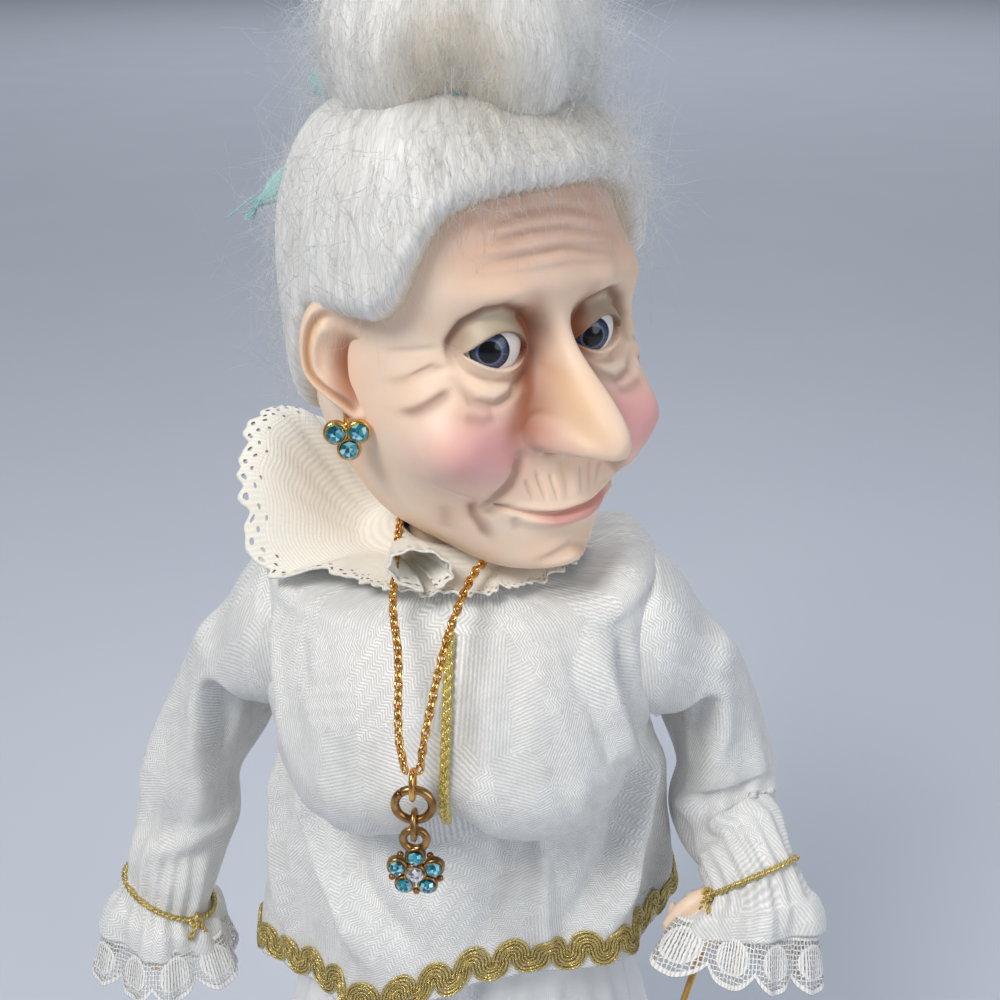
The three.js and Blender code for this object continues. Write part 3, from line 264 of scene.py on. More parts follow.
@dataclass
class Surface:
    """Points and faces of one mesh. A triangle has -1 as its last corner."""

    points: Array
    faces: Array
    uv: Array
    marks: dict[str, Array] = field(default_factory=dict)

    @classmethod
    def grid(
        cls,
        points: Array,
        size: tuple[float, float] = (1.0, 1.0),
        around: bool = False,
        ring: bool = False,
        caps: bool = False,
        marks: dict[str, Array] | None = None,
    ) -> "Surface":
        """Faces over a grid of points, facing out when columns run round rows that rise.

        Args:
            points: rows by columns by 3.
            size: width and length of the whole grid in its texture, in millimetres.
            around: joins the last column to the first.
            ring: joins the last row to the first.
            caps: closes the first and last rows with fans.
            marks: named values on the points.
        Returns:
            The surface.
        """
        rows, columns = points.shape[:2]
        down = np.arange(rows if ring else rows - 1)
        across = np.arange(columns if around else columns - 1)
        i, j = (grid.ravel() for grid in np.meshgrid(down, across, indexing="ij"))
        corners = ((i, j), (i, j + 1), (i + 1, j + 1), (i + 1, j))
        faces = np.stack([(a % rows) * columns + b % columns for a, b in corners], 1)
        scale = np.array([size[0] / len(across), size[1] / len(down)])
        uv = np.stack([np.stack([b, a], 1) * scale for a, b in corners], 1)
        given = (marks or {}).items()
        flat = {name: np.broadcast_to(value, (rows, columns)).ravel() for name, value in given}
        made = cls(points.reshape(-1, 3), faces, uv, flat)
        return made.capped(rows, columns) if caps else made

    def capped(self, rows: int, columns: int) -> "Surface":
        """The grid of so many rows and columns with a fan over its first and last row.

        Args:
            rows, columns: size of the grid.
        Returns:
            The closed surface.
        """
        count = len(self.points)
        ends = (np.arange(columns), np.arange(columns) + (rows - 1) * columns)
        faces, uv = [self.faces], [self.uv]
        for k, ring in enumerate(ends):
            pair = (np.roll(ring, -1), ring) if k == 0 else (ring, np.roll(ring, -1))
            faces.append(np.stack([*pair, np.full(columns, count + k), np.full(columns, -1)], 1))
            uv.append(np.repeat(self.uv[:1] if k == 0 else self.uv[-1:], columns, 0))
        points = np.r_[self.points, [self.points[ring].mean(0) for ring in ends]]
        marks = {
            name: np.r_[value, [value[ring].mean() for ring in ends]] for name, value in self.marks.items()
        }
        return Surface(points, np.concatenate(faces), np.concatenate(uv), marks)

    @classmethod
    def join(cls, *parts: "Surface") -> "Surface":
        """Several surfaces as one.

        Args:
            parts: the surfaces, in order.
        Returns:
            One surface; a mark that a part lacks is 0 there.
        """
        starts = np.cumsum([0] + [len(part.points) for part in parts])
        faces = [np.where(part.faces < 0, -1, part.faces + start) for part, start in zip(parts, starts)]
        names = {name for part in parts for name in part.marks}
        marks = {n: np.concatenate([p.marks.get(n, np.zeros(len(p.points))) for p in parts]) for n in names}
        points, uv = np.concatenate([p.points for p in parts]), np.concatenate([p.uv for p in parts])
        return cls(points, np.concatenate(faces), uv, marks)

    def mesh(self, name: str, soft: bool = True) -> bpy.types.Mesh:
        """The surface as a mesh in metres, smooth or flat shaded.

        Args:
            name: the mesh's name.
            soft: smooth instead of flat shading.
        Returns:
            The mesh.
        """
        used = self.faces >= 0
        corners = used.sum(1)
        mesh = bpy.data.meshes.new(name)
        mesh.vertices.add(len(self.points))
        mesh.vertices.foreach_set("co", (self.points * MM).astype(np.float32).ravel())
        mesh.loops.add(int(corners.sum()))
        mesh.loops.foreach_set("vertex_index", self.faces[used].astype(np.int32))
        mesh.polygons.add(len(self.faces))
        mesh.polygons.foreach_set("loop_start", (np.cumsum(corners) - corners).astype(np.int32))
        mesh.polygons.foreach_set("use_smooth", np.full(len(self.faces), soft))
        mesh.uv_layers.new(name="UVMap").data.foreach_set("uv", self.uv[used].astype(np.float32).ravel())
        for mark, value in self.marks.items():
            layer = mesh.attributes.new(mark, "FLOAT", "POINT")
            layer.data.foreach_set("value", np.asarray(value, np.float32))
        mesh.update(calc_edges=True)
        return mesh


def path_frame(path: Array, reference: Array, closed: bool = False) -> tuple[Array, Array, Array]:
    """Directions along a path and across it.

    Args:
        path: places, one per row.
        reference: a direction that the first cross direction leans to.
        closed: the last place is next to the first.
    Returns:
        The way along, and two directions across it.
    """
    step = np.roll(path, -1, 0) - np.roll(path, 1, 0) if closed else np.gradient(path, axis=0)
    tangent = unit(step)
    lean = np.broadcast_to(np.asarray(reference, float), path.shape)
    across = unit(lean - (lean * tangent).sum(-1, keepdims=True) * tangent)
    return tangent, across, np.cross(tangent, across)


def tube(
    path: Array, radius: Array | float, reference: Array, sides: int = 8, closed: bool = False
) -> Surface:
    """Round wire along a path: each place's circle stands across the path.

    Args:
        path: places of the wire's middle.
        radius: its radius, or one radius for each place.
        reference: a direction that is never along the path.
        sides: points round the wire.
        closed: the wire is a loop.
    Returns:
        The closed surface.
    """
    _, across, up = path_frame(path, reference, closed)
    angle = directions(sides)[None, :, None]
    reach = np.broadcast_to(np.asarray(radius, float), (len(path),))[:, None, None]
    points = path[:, None] + reach * (np.cos(angle) * across[:, None] + np.sin(angle) * up[:, None])
    length = spans(path).sum()
    return Surface.grid(points, (TURN * float(reach.mean()), length), True, closed, not closed)


def loop(
    radius: float,
    wire: float,
    centre: Array,
    first: Array,
    second: Array,
    stretch: float = 1.0,
    count: int = 48,
    sides: int = 14,
) -> Surface:
    """Wire ring: an ellipse spanned by two directions, the second one stretched.

    Args:
        radius, wire: of the ring and of its wire.
        centre: the ring's middle.
        first, second: directions that span it.
        stretch: how much longer it is along the second.
        count, sides: points along the wire and round it.
    Returns:
        The closed surface.
    """
    t = directions(count)[:, None]
    first, second = unit(np.asarray(first, float)), unit(np.asarray(second, float))
    path = np.asarray(centre) + radius * (np.cos(t) * first + stretch * np.sin(t) * second)
    return tube(path, wire, np.cross(first, second), sides, True)


def copies(rings: Array, size: tuple[float, float], closed: bool) -> Surface:
    """Many wires of the same make as one surface.

    Args:
        rings: wires by places along them by points round each place by 3.
        size: width and length of each wire in its texture, in millimetres.
        closed: the wires are loops; others are capped at both ends.
    Returns:
        The closed surface.
    """
    count = len(rings)
    single = Surface.grid(rings[0], size, True, closed, not closed)
    cloud = rings.reshape(count, -1, 3)
    if not closed:
        ends = np.stack([rings[:, 0].mean(1), rings[:, -1].mean(1)], 1)
        cloud = np.concatenate([cloud, ends], 1)
    shift = (np.arange(count) * cloud.shape[1])[:, None, None]
    faces = np.where(single.faces < 0, -1, single.faces + shift).reshape(-1, 4)
    return Surface(cloud.reshape(-1, 3), faces, np.tile(single.uv, (count, 1, 1)))


def ball(centre: Array, axes: Array, rows: int = 20, columns: int = 28) -> Surface:
    """Ellipsoid from the three vectors of its half axes, which follow the right-hand rule.

    Args:
        centre: its middle.
        axes: the three vectors.
        rows, columns: size of the grid.
    Returns:
        The closed surface.
    """
    tilt = np.linspace(-0.5, 0.5, rows + 2)[1:-1, None] * np.pi
    turn = directions(columns)[None]
    a, b, c = (np.asarray(axis, float) for axis in axes)
    flat = np.cos(tilt)[..., None] * (np.cos(turn)[..., None] * a + np.sin(turn)[..., None] * b)
    return Surface.grid(np.asarray(centre) + flat + np.sin(tilt)[..., None] * c, around=True, caps=True)


def lathe(profile: Array, columns: int) -> Surface:
    """Turned shape about Z through rows of radius and height, from the bottom up.

    Args:
        profile: the rows.
        columns: points round the axis.
    Returns:
        The closed surface.
    """
    angle = directions(columns)
    r, z = (np.asarray(profile, float)[:, k, None] for k in (0, 1))
    points = np.stack([r * np.cos(angle), r * np.sin(angle), z + 0 * angle], -1)
    return Surface.grid(points, around=True, caps=True)


def facing(part: Surface, front: Array, at: Array) -> Surface:
    """A part built along +Z, turned to face another way and moved to a place.

    Args:
        part: what to turn.
        front: where its +Z goes.
        at: where its origin goes.
    Returns:
        The turned part.
    """
    z = unit(np.asarray(front, float))
    x = unit(np.cross((0, 0, 1), z))
    basis = np.stack([x, np.cross(z, x), z])
    return Surface(part.points @ basis + np.asarray(at), part.faces, part.uv, part.marks)


# Finishes


def tint(red: int, green: int, blue: int) -> Colour:
    """Linear colour from a picture's red, green and blue of 0 to 255.

    Args:
        red, green, blue: the three numbers.
    Returns:
        The colour, with full alpha.
    """
    c = np.array([red, green, blue]) / 255
    linear = np.where(c <= 0.04045, c / 12.92, ((c + 0.055) / 1.055) ** 2.4)
    return (*linear.tolist(), 1.0)


class Socket:
    """A value in a material; arithmetic on it adds nodes."""

    def __init__(self, shader: "Shader", output: bpy.types.NodeSocket) -> None:
        """Wraps an output of one of the shader's nodes."""
        self.shader, self.output = shader, output

    def __add__(self, other: "Value") -> "Socket":
        """Sum."""
        return self.shader.math("ADD", self, other)

    def __sub__(self, other: "Value") -> "Socket":
        """Difference."""
        return self.shader.math("SUBTRACT", self, other)

    def __rsub__(self, other: "Value") -> "Socket":
        """Difference from a number."""
        return self.shader.math("SUBTRACT", other, self)

    def __mul__(self, other: "Value") -> "Socket":
        """Product."""
        return self.shader.math("MULTIPLY", self, other)

    def __truediv__(self, other: "Value") -> "Socket":
        """Quotient."""
        return self.shader.math("DIVIDE", self, other)

    def __rtruediv__(self, other: "Value") -> "Socket":
        """Quotient of a number."""
        return self.shader.math("DIVIDE", other, self)

    def __pow__(self, other: "Value") -> "Socket":
        """Power."""
        return self.shader.math("POWER", self, other)

    def __rpow__(self, other: "Value") -> "Socket":
        """Power of a number."""
        return self.shader.math("POWER", other, self)

    __radd__, __rmul__ = __add__, __mul__

    def smooth(self, low: float, high: float) -> "Socket":
        """Soft step from 0 at low to 1 at high."""
        settings = {"interpolation_type": "SMOOTHSTEP"}
        return self.shader.node("ShaderNodeMapRange", settings, {0: self, 1: low, 2: high, 3: 0.0, 4: 1.0})

    def wave(self, length: float) -> "Socket":
        """Sine of this value, with one wave in so much of it."""
        return self.shader.math("SINE", self * (TURN / length))

    def within(self, length: float) -> "Socket":
        """Distance from the middle of the repeat that this value is in."""
        return self.shader.math("PINGPONG", self, length / 2)

    def most(self, other: "Value") -> "Socket":
        """The greater of two values."""
        return self.shader.math("MAXIMUM", self, other)

    def size(self) -> "Socket":
        """The value without its sign."""
        return self.shader.math("ABSOLUTE", self)


Value = Socket | float


class Shader:
    """A material's node tree with short names for its nodes."""

    def __init__(self, name: str) -> None:
        """Starts a material with one surface node.

        Args:
            name: the material's name.
        """
        self.material = bpy.data.materials.new(name)
        self.material.use_nodes = True
        self.tree = self.material.node_tree
        self.surface = next(node for node in self.tree.nodes if node.type == "BSDF_PRINCIPLED")

    def feed(self, target: bpy.types.NodeSocket, value: Socket | float | tuple[float, ...]) -> None:
        """Links a value to an input, or sets a plain one.

        Args:
            target: the input.
            value: a socket, or a plain number or colour.
        """
        if isinstance(value, Socket):
            self.tree.links.new(value.output, target)
        else:
            target.default_value = value

    def node(
        self, kind: str, settings: dict | None = None, inputs: dict | None = None, output: int | str = 0
    ) -> Socket:
        """Any node.

        Args:
            kind: the node's type.
            settings: its properties.
            inputs: values by input name or number.
            output: which output to return.
        Returns:
            That output.
        """
        node = self.tree.nodes.new(kind)
        for key, value in (settings or {}).items():
            setattr(node, key, value)
        for key, value in (inputs or {}).items():
            self.feed(node.inputs[key], value)
        return Socket(self, node.outputs[output])

    def math(self, operation: str, *values: Value) -> Socket:
        """A Math node on one, two or three values."""
        return self.node("ShaderNodeMath", {"operation": operation}, dict(enumerate(values)))

    def mix(self, factor: Value, first: Socket | Colour, second: Socket | Colour) -> Socket:
        """A colour between two."""
        return self.node("ShaderNodeMix", {"data_type": "RGBA"}, {0: factor, 6: first, 7: second}, 2)

    def uv(self) -> tuple[Socket, Socket]:
        """The mesh's own texture place, in millimetres."""
        return self.parts(self.node("ShaderNodeUVMap", {"uv_map": "UVMap"}))[:2]

    def place(self) -> Socket:
        """The place in the object, in metres."""
        return self.node("ShaderNodeTexCoord", output="Object")

    def parts(self, vector: Socket) -> tuple[Socket, Socket, Socket]:
        """The three numbers of a vector.

        Args:
            vector: what to split.
        Returns:
            Its x, y and z.
        """
        node = self.tree.nodes.new("ShaderNodeSeparateXYZ")
        self.feed(node.inputs[0], vector)
        return tuple(Socket(self, output) for output in node.outputs)

    def vector(self, x: Value, y: Value, z: Value = 0.0) -> Socket:
        """A vector of three numbers."""
        return self.node("ShaderNodeCombineXYZ", None, {0: x, 1: y, 2: z})

    def mark(self, name: str) -> Socket:
        """A named value on the mesh's points."""
        return self.node("ShaderNodeAttribute", {"attribute_name": name}, output="Fac")

    def noise(self, vector: Socket, scale: float, detail: float = 2.0) -> Socket:
        """Soft noise about 0.5."""
        return self.node("ShaderNodeTexNoise", None, {"Vector": vector, "Scale": scale, "Detail": detail})

    def bump(self, height: Socket, depth: float, strength: float = 1.0) -> Socket:
        """A normal that a height in millimetres of this depth tilts."""
        inputs = {"Height": height, "Distance": depth * MM, "Strength": strength}
        return self.node("ShaderNodeBump", None, inputs)

    def finish(self, **inputs: Socket | float | Colour) -> None:
        """Feeds the surface: words joined by an underscore name its inputs."""
        for key, value in inputs.items():
            self.feed(self.surface.inputs[key.replace("_", " ")], value)


class Finish:
    """A finish that makes its material once."""

    name: str
    made: dict[str, bpy.types.Material] = {}

    def paint(self, s: Shader) -> None:
        """Adds the finish's nodes."""
        raise NotImplementedError

    def material(self) -> bpy.types.Material:
        """The material, made on first use.

        Returns:
            The material.
        """
        if self.name not in Finish.made:
            shader = Shader(self.name)
            self.paint(shader)
            Finish.made[self.name] = shader.material
        return Finish.made[self.name]


@dataclass(frozen=True)
class Vinyl(Finish):
    """Painted doll vinyl: blushed cheeks, painted shade in the creases and hollows, tinted lids and lips
    from the mesh's marks.
    """

    name: str = "painted_vinyl"
    base: Colour = tint(252, 226, 203)
    warm: Colour = tint(248, 215, 186)
    pink: Colour = tint(214, 164, 144)
    cheek: Colour = tint(232, 156, 162)
    lid: Colour = tint(168, 158, 132)
    bag: Colour = tint(238, 222, 200)
    # Painted shade on the side of the nose and in the ear's groove.
    ochre: Colour = tint(226, 178, 116)
    # Painted shade in the creases, nostrils and along the lid opening.
    brown: Colour = tint(120, 64, 32)
    # Painted shade in the hollow beside the nose and in the ear's bowl, partly the doll's own paint.
    orange: Colour = tint(166, 86, 46)
    lip: Colour = tint(224, 158, 150)

    def paint(self, s: Shader) -> None:
        """Layers the tints and the painted shade over a softly mottled skin and gives the lips a shine.

        Args:
            s: the material's shader.
        """
        mottle = s.noise(s.place(), 90.0, 4.0)
        colour = s.mix(mottle.smooth(0.3, 0.7), self.base, self.warm)
        lips = s.mark("lips")
        layers = (
            (s.mark("forehead") * 0.42, self.pink),
            (s.mark("blush") * (mottle * 0.3 + 0.6), self.cheek),
            # Painted shade on the side of the nose and in the ear's groove.
            (s.mark("ochre"), self.ochre),
            (s.mark("bag"), self.bag),
            (s.mark("lid") * 0.85, self.lid),
            # Painted shade beside the nose and in the ear's bowl, partly the doll's own paint.
            (s.mark("orange") * 0.92, self.orange),
            (lips * 0.85, self.lip),
            # Painted shade in the creases, nostrils and along the lid opening.
            (s.mark("brown") * 0.75, self.brown),
        )
        for factor, tone in layers:
            colour = s.mix(factor, colour, tone)
        fine = s.noise(s.place(), 900.0, 2.0)
        s.finish(
            Base_Color=colour,
            Roughness=0.44 + mottle * 0.08 - lips * 0.22,
            Normal=s.bump(fine, 0.03, 0.5),
            Subsurface_Weight=0.12,
            Subsurface_Scale=0.002,
            Coat_Weight=lips * 0.5,
            Coat_Roughness=0.25,
        )


@dataclass(frozen=True)
class EyeGlass(Finish):
    """Glass eye: texture width goes once round the gaze, length is degrees from it."""

    name: str = "glass_eye"
    white: Colour = tint(240, 238, 234)
    pink: Colour = tint(226, 196, 184)
    iris: Colour = tint(50, 55, 78)
    pale: Colour = tint(116, 132, 172)
    rim: Colour = tint(22, 24, 38)
    pupil: Colour = tint(4, 4, 6)
    edge: float = 36.0

    def paint(self, s: Shader) -> None:
        """Rings of pupil, streaked iris and dark rim on a white that reddens outwards.

        Args:
            s: the material's shader.
        """
        turn, away = s.uv()
        spokes = s.noise(s.vector(s.math("COSINE", turn * TURN), s.math("SINE", turn * TURN)), 14.0, 3.0)
        iris = s.mix(spokes.smooth(0.4, 0.8) * 0.6, self.iris, self.pale)
        ring = away.smooth(18.0, 20.0) * (1.0 - away.smooth(21.0, 25.0))
        iris = s.mix(ring * 0.55, iris, self.pale)
        iris = s.mix(away.smooth(self.edge - 9, self.edge - 1), iris, self.rim)
        iris = s.mix(1.0 - away.smooth(17.5, 19.0), iris, self.pupil)
        white = s.mix(away.smooth(50.0, 85.0), self.white, self.pink)
        s.finish(
            Base_Color=s.mix(away.smooth(self.edge - 0.8, self.edge + 1.2), iris, white),
            Roughness=0.22 + spokes * 0.04,
            Specular_IOR_Level=0.25,
            Coat_Weight=0.4,
            Coat_Roughness=0.02,
        )


@dataclass(frozen=True)
class Mohair(Finish):
    """White mohair: streaks along the texture's length, with painted shade in their low parts and where the
    mesh is marked.
    """

    name: str = "white_mohair"
    white: Colour = tint(248, 247, 245)
    # Painted shade in the low parts of the streaks.
    strand_shade: Colour = tint(216, 214, 208)
    shade: Colour = tint(206, 190, 160)
    through: float = 0.2

    def paint(self, s: Shader) -> None:
        """Fine and broad streaks in height, with painted shade in colour where they are low.

        Args:
            s: the material's shader.
        """
        x, y = s.uv()
        wander = s.noise(s.vector(x * 0.04, y * 0.05), 1.0) * 4.0
        fine = s.noise(s.vector((x + wander) * 5.0, y * 0.05), 1.0, 3.0)
        broad = s.noise(s.vector((x + wander) * 0.6, y * 0.03), 1.0, 2.0)
        streak = fine * 0.7 + broad * 0.3
        # Painted shade where the streaks are low.
        colour = s.mix(streak.smooth(0.66, 0.36), self.white, self.strand_shade)
        s.finish(
            Base_Color=s.mix(s.mark("shade"), colour, self.shade),
            Roughness=0.5,
            Normal=s.bump(streak, 0.28, 0.6),
            Sheen_Weight=0.25,
            Subsurface_Weight=self.through,
            Subsurface_Radius=(1.0, 1.0, 1.0),
            Subsurface_Scale=0.003,
        )


@dataclass(frozen=True)
class Brocade(Finish):
    """Ivory satin jacquard: leaf patches, each hatched its own way, on a plainer ground, with the hatching's
    sheen painted into the colour.
    """

    name: str = "ivory_brocade"
    # Painted sheen: the threads' colour runs from this darker tone to the lighter one where the hatching
    # would catch the light.
    ground: Colour = tint(198, 197, 194)
    figure: Colour = tint(251, 251, 249)
    thread: float = 0.62
    leaf: float = 9.5

    def paint(self, s: Shader) -> None:
        """Leaves are cells that noise bends; a cell's numbers set its hatching and whether it is ground.

        Args:
            s: the material's shader.
        """
        x, y = s.uv()
        bend = s.noise(s.vector(x, y), 0.2, 2.0) * 8.0
        place = s.vector(x + bend, y * 0.7 + s.noise(s.vector(x + 40.0, y), 0.2, 2.0) * 8.0)
        cells = {"Vector": place, "Scale": 1.0 / self.leaf, "Randomness": 1.0}
        flat = {"voronoi_dimensions": "2D"}
        first, second, _ = s.parts(s.node("ShaderNodeTexVoronoi", flat, cells, "Color"))
        turn = first * np.pi
        along = x * s.math("COSINE", turn) + y * s.math("SINE", turn)
        across = y * s.math("COSINE", turn) - x * s.math("SINE", turn)
        grain = s.noise(s.vector(x, y), 1.8, 2.0) * 0.5
        zigzag = across.within(2.6) * second.smooth(0.5, 0.55) * 0.8
        hatch = (along + zigzag + grain).wave(self.thread) * 0.5 + 0.5
        figure = second.smooth(0.3, 0.5)
        # Random patches that lift the tone and the painted sheen.
        patchy_tone_and_sheen = s.noise(s.vector(x, y), 0.3, 3.0)
        # How strongly the hatching shows, in relief, gloss and painted sheen.
        shown = hatch * (0.7 + figure * 0.3) * (0.65 + patchy_tone_and_sheen * 0.6)
        # The colour is painted sheen: lighter where the hatching shows, and in random patches.
        s.finish(
            Base_Color=s.mix(shown * 0.75 + figure * 0.05 + patchy_tone_and_sheen * 0.35, self.ground, self.figure),
            Roughness=0.46 - shown * 0.14,
            Normal=s.bump(shown * 0.9 + figure * 0.12, 0.16, 0.6),
            Sheen_Weight=0.12,
            Coat_Weight=shown * 0.3,
            Coat_Roughness=0.38,
        )


@dataclass(frozen=True)
class Satin(Finish):
    """Plain white satin with a fine weave and soft unevenness."""

    name: str = "white_satin"
    white: Colour = tint(240, 239, 236)
    dim: Colour = tint(226, 226, 225)

    def paint(self, s: Shader) -> None:
        """Weave lines along the cloth and slow changes of tone.

        Args:
            s: the material's shader.
        """
        x, y = s.uv()
        slow = s.noise(s.vector(x * 0.08, y * 0.03), 1.0, 3.0)
        weave = x.wave(0.7) * 0.5 + y.wave(0.55) * 0.5
        s.finish(
            Base_Color=s.mix(slow.smooth(0.3, 0.7), self.white, self.dim),
            Roughness=0.42 + slow * 0.1,
            Normal=s.bump(weave * 0.3 + slow * 2.0, 0.12, 0.5),
            Sheen_Weight=0.15,
        )


@dataclass(frozen=True)
class CottonLace(Finish):
    """Ribbed cotton lace: ribs run along its width, with rows of holes towards its free edge."""

    name: str = "cotton_lace"
    thread: Colour = tint(245, 242, 233)
    # Painted shade between the ribs.
    shade: Colour = tint(236, 232, 220)
    rib: float = 0.8
    edge: float = 27.0

    def paint(self, s: Shader) -> None:
        """Ribs in height and in colour, with painted shade between them; round holes and open slits cut
        through.

        Args:
            s: the material's shader.
        """
        x, y = s.uv()
        fluff = s.noise(s.vector(x, y), 3.0, 3.0)
        rib = (y + fluff * 0.5).wave(self.rib) * 0.5 + 0.5
        stitch = (x + fluff * 0.6).wave(0.7) * 0.5 + 0.5
        free = y.smooth(self.edge - 4.5, self.edge - 3.5)
        hole_a = self.hole(s, x, y, 2.4, self.edge - 1.3, 0.42)
        hole_b = self.hole(s, x + 1.2, y, 2.4, self.edge - 2.7, 0.34)
        slit = self.hole(s, x, y, 4.8, self.edge - 4.4, 0.3)
        open_work = hole_a.most(hole_b).most(slit)
        height = rib * (0.55 + stitch * 0.45) * (1.0 - free) + free * stitch * 0.5
        # The colour is painted shade in the dips between the ribs.
        s.finish(
            Base_Color=s.mix(height.smooth(0.0, 0.6), self.shade, self.thread),
            Roughness=0.8,
            Alpha=1.0 - open_work,
            Normal=s.bump(height + fluff * 1.2, 0.08, 0.6),
            Sheen_Weight=0.2,
        )

    def hole(self, s: Shader, x: Socket, y: Socket, repeat: float, row: float, radius: float) -> Socket:
        """1 inside a row of round holes."""
        away = s.math("SQRT", x.within(repeat) ** 2.0 + (y - row) ** 2.0)
        return 1.0 - away.smooth(radius * 0.85, radius * 1.1)


@dataclass(frozen=True)
class NetLace(Finish):
    """White net lace: fine mesh, hatched ovals and a corded scalloped edge."""

    name: str = "net_lace"
    thread: Colour = tint(244, 243, 240)
    shade: Colour = tint(214, 212, 206)
    repeat: float = 11.0
    depth: float = 10.5

    def paint(self, s: Shader) -> None:
        """Threads of net, filled motifs and edge as one cover that is also the alpha.

        Args:
            s: the material's shader.
        """
        x, y = s.uv()
        place = s.vector(x, y)
        net = s.node(
            "ShaderNodeTexVoronoi",
            {"feature": "DISTANCE_TO_EDGE", "voronoi_dimensions": "2D"},
            {"Vector": place, "Scale": 1.15, "Randomness": 0.35},
            "Distance",
        )
        mesh = 1.0 - net.smooth(0.10, 0.2)
        across = x.within(self.repeat)
        arch = self.depth - 0.3 - across ** 2.0 * 0.1
        oval = s.math("SQRT", (across / 3.5) ** 2.0 + ((y - 4.6) / 2.9) ** 2.0)
        hatch = (x + s.noise(place, 1.2) * 0.5).wave(0.75).smooth(-0.75, -0.2)
        filled = (1.0 - oval.smooth(0.9, 1.0)) * hatch
        ring = 1.0 - (oval - 1.0).size().smooth(0.08, 0.16)
        cord = 1.0 - (y - arch + 0.5).size().smooth(0.42, 0.62)
        sewn = 1.0 - y.smooth(0.5, 0.8)
        inside = 1.0 - (y - arch).smooth(-0.1, 0.1)
        cover = mesh.most(filled).most(ring).most(cord).most(sewn) * inside
        s.finish(
            Base_Color=s.mix(hatch, self.shade, self.thread),
            Roughness=0.7,
            Alpha=cover,
            Normal=s.bump(cover + filled * 0.6 + cord * 0.8, 0.25, 0.8),
            Sheen_Weight=0.2,
        )


@dataclass(frozen=True)
class MetalThread(Finish):
    """Metallic thread wound at a slant, with painted highlight on the windings and painted shade between
    them.
    """

    name: str = "gold_thread"
    # The painted highlight on the windings and the painted shade between them.
    bright: Colour = tint(255, 238, 160)
    dark: Colour = tint(150, 112, 38)
    winding: float = 0.42

    def paint(self, s: Shader) -> None:
        """Slanted windings in painted highlight and shade, with random patches.

        Args:
            s: the material's shader.
        """
        x, y = s.uv()
        winding = (y + x * 0.9).wave(self.winding) * 0.5 + 0.5
        patchy_tone_and_sheen = s.noise(s.place(), 700.0, 3.0)
        # The colour is painted highlight and shade along the windings.
        s.finish(
            Base_Color=s.mix(winding * 0.6 + patchy_tone_and_sheen * 0.4, self.dark, self.bright),
            Metallic=0.7,
            Roughness=0.18 + patchy_tone_and_sheen * 0.2,
            Normal=s.bump(winding + patchy_tone_and_sheen * 0.5, 0.14, 0.7),
        )


@dataclass(frozen=True)
class Metal(Finish):
    """Plated metal with tarnish in soft patches."""

    name: str
    bright: Colour
    tarnish: Colour
    roughness: float

    def paint(self, s: Shader) -> None:
        """Two tones of metal and an uneven polish.

        Args:
            s: the material's shader.
        """
        patch = s.noise(s.place(), 420.0, 4.0)
        fine = s.noise(s.place(), 2600.0, 2.0)
        s.finish(
            Base_Color=s.mix(patch.smooth(0.35, 0.7), self.bright, self.tarnish),
            Metallic=1.0,
            Roughness=self.roughness + patch * 0.12,
            Normal=s.bump(fine, 0.03, 0.4),
        )


@dataclass(frozen=True)
class CutGlass(Finish):
    """Foiled cut glass: each facet has its own tone, a painted reflection, the brightest ones a painted
    glint.
    """

    name: str
    # Painted reflection: each facet takes a tone between these two, or the painted glint below.
    deep: Colour
    clear: Colour
    painted_glint: Colour

    def paint(self, s: Shader) -> None:
        """Facet tones of painted reflection, which the texture's width carries, from deep through clear to a
        painted glint under a hard gloss.

        Args:
            s: the material's shader.
        """
        # Each facet's tone is a painted reflection, the brightest a painted glint.
        tone, _ = s.uv()
        colour = s.mix(tone.smooth(0.0, 0.6), self.deep, self.clear)
        s.finish(
            Base_Color=s.mix(tone.smooth(0.6, 1.0), colour, self.painted_glint),
            Metallic=0.35,
            Roughness=0.06 + tone * 0.05,
            Coat_Weight=1.0,
            Coat_Roughness=0.02,
        )


@dataclass(frozen=True)
class RibbonWeave(Finish):
    """Turquoise ribbon with cross ribs and a thinning, frayed end."""

    name: str = "turquoise_ribbon"
    light: Colour = tint(168, 222, 216)
    dark: Colour = tint(96, 182, 184)

    def paint(self, s: Shader) -> None:
        """Cross ribs and lengthwise threads.

        Args:
            s: the material's shader.
        """
        x, y = s.uv()
        rib = y.wave(0.6) * 0.5 + 0.5
        thread = s.noise(s.vector(x * 4.0, y * 0.15), 1.0, 3.0)
        s.finish(
            Base_Color=s.mix(rib * 0.4 + thread * 0.6, self.dark, self.light),
            Roughness=0.5,
            Normal=s.bump(rib + thread, 0.08, 0.6),
            Sheen_Weight=0.3,
        )


@dataclass(frozen=True)
class Wood(Finish):
    """Turned pale wood with grain."""

    name: str = "pale_wood"
    light: Colour = tint(206, 166, 116)
    dark: Colour = tint(156, 112, 70)

    def paint(self, s: Shader) -> None:
        """Grain stretched along X.

        Args:
            s: the material's shader.
        """
        x, y, z = s.parts(s.place())
        grain = s.noise(s.vector(x * 20.0, y * 220.0, z * 220.0), 1.0, 4.0)
        colour = s.mix(grain.smooth(0.35, 0.65), self.light, self.dark)
        s.finish(Base_Color=colour, Roughness=0.45 + grain * 0.1, Normal=s.bump(grain, 0.15, 0.4))


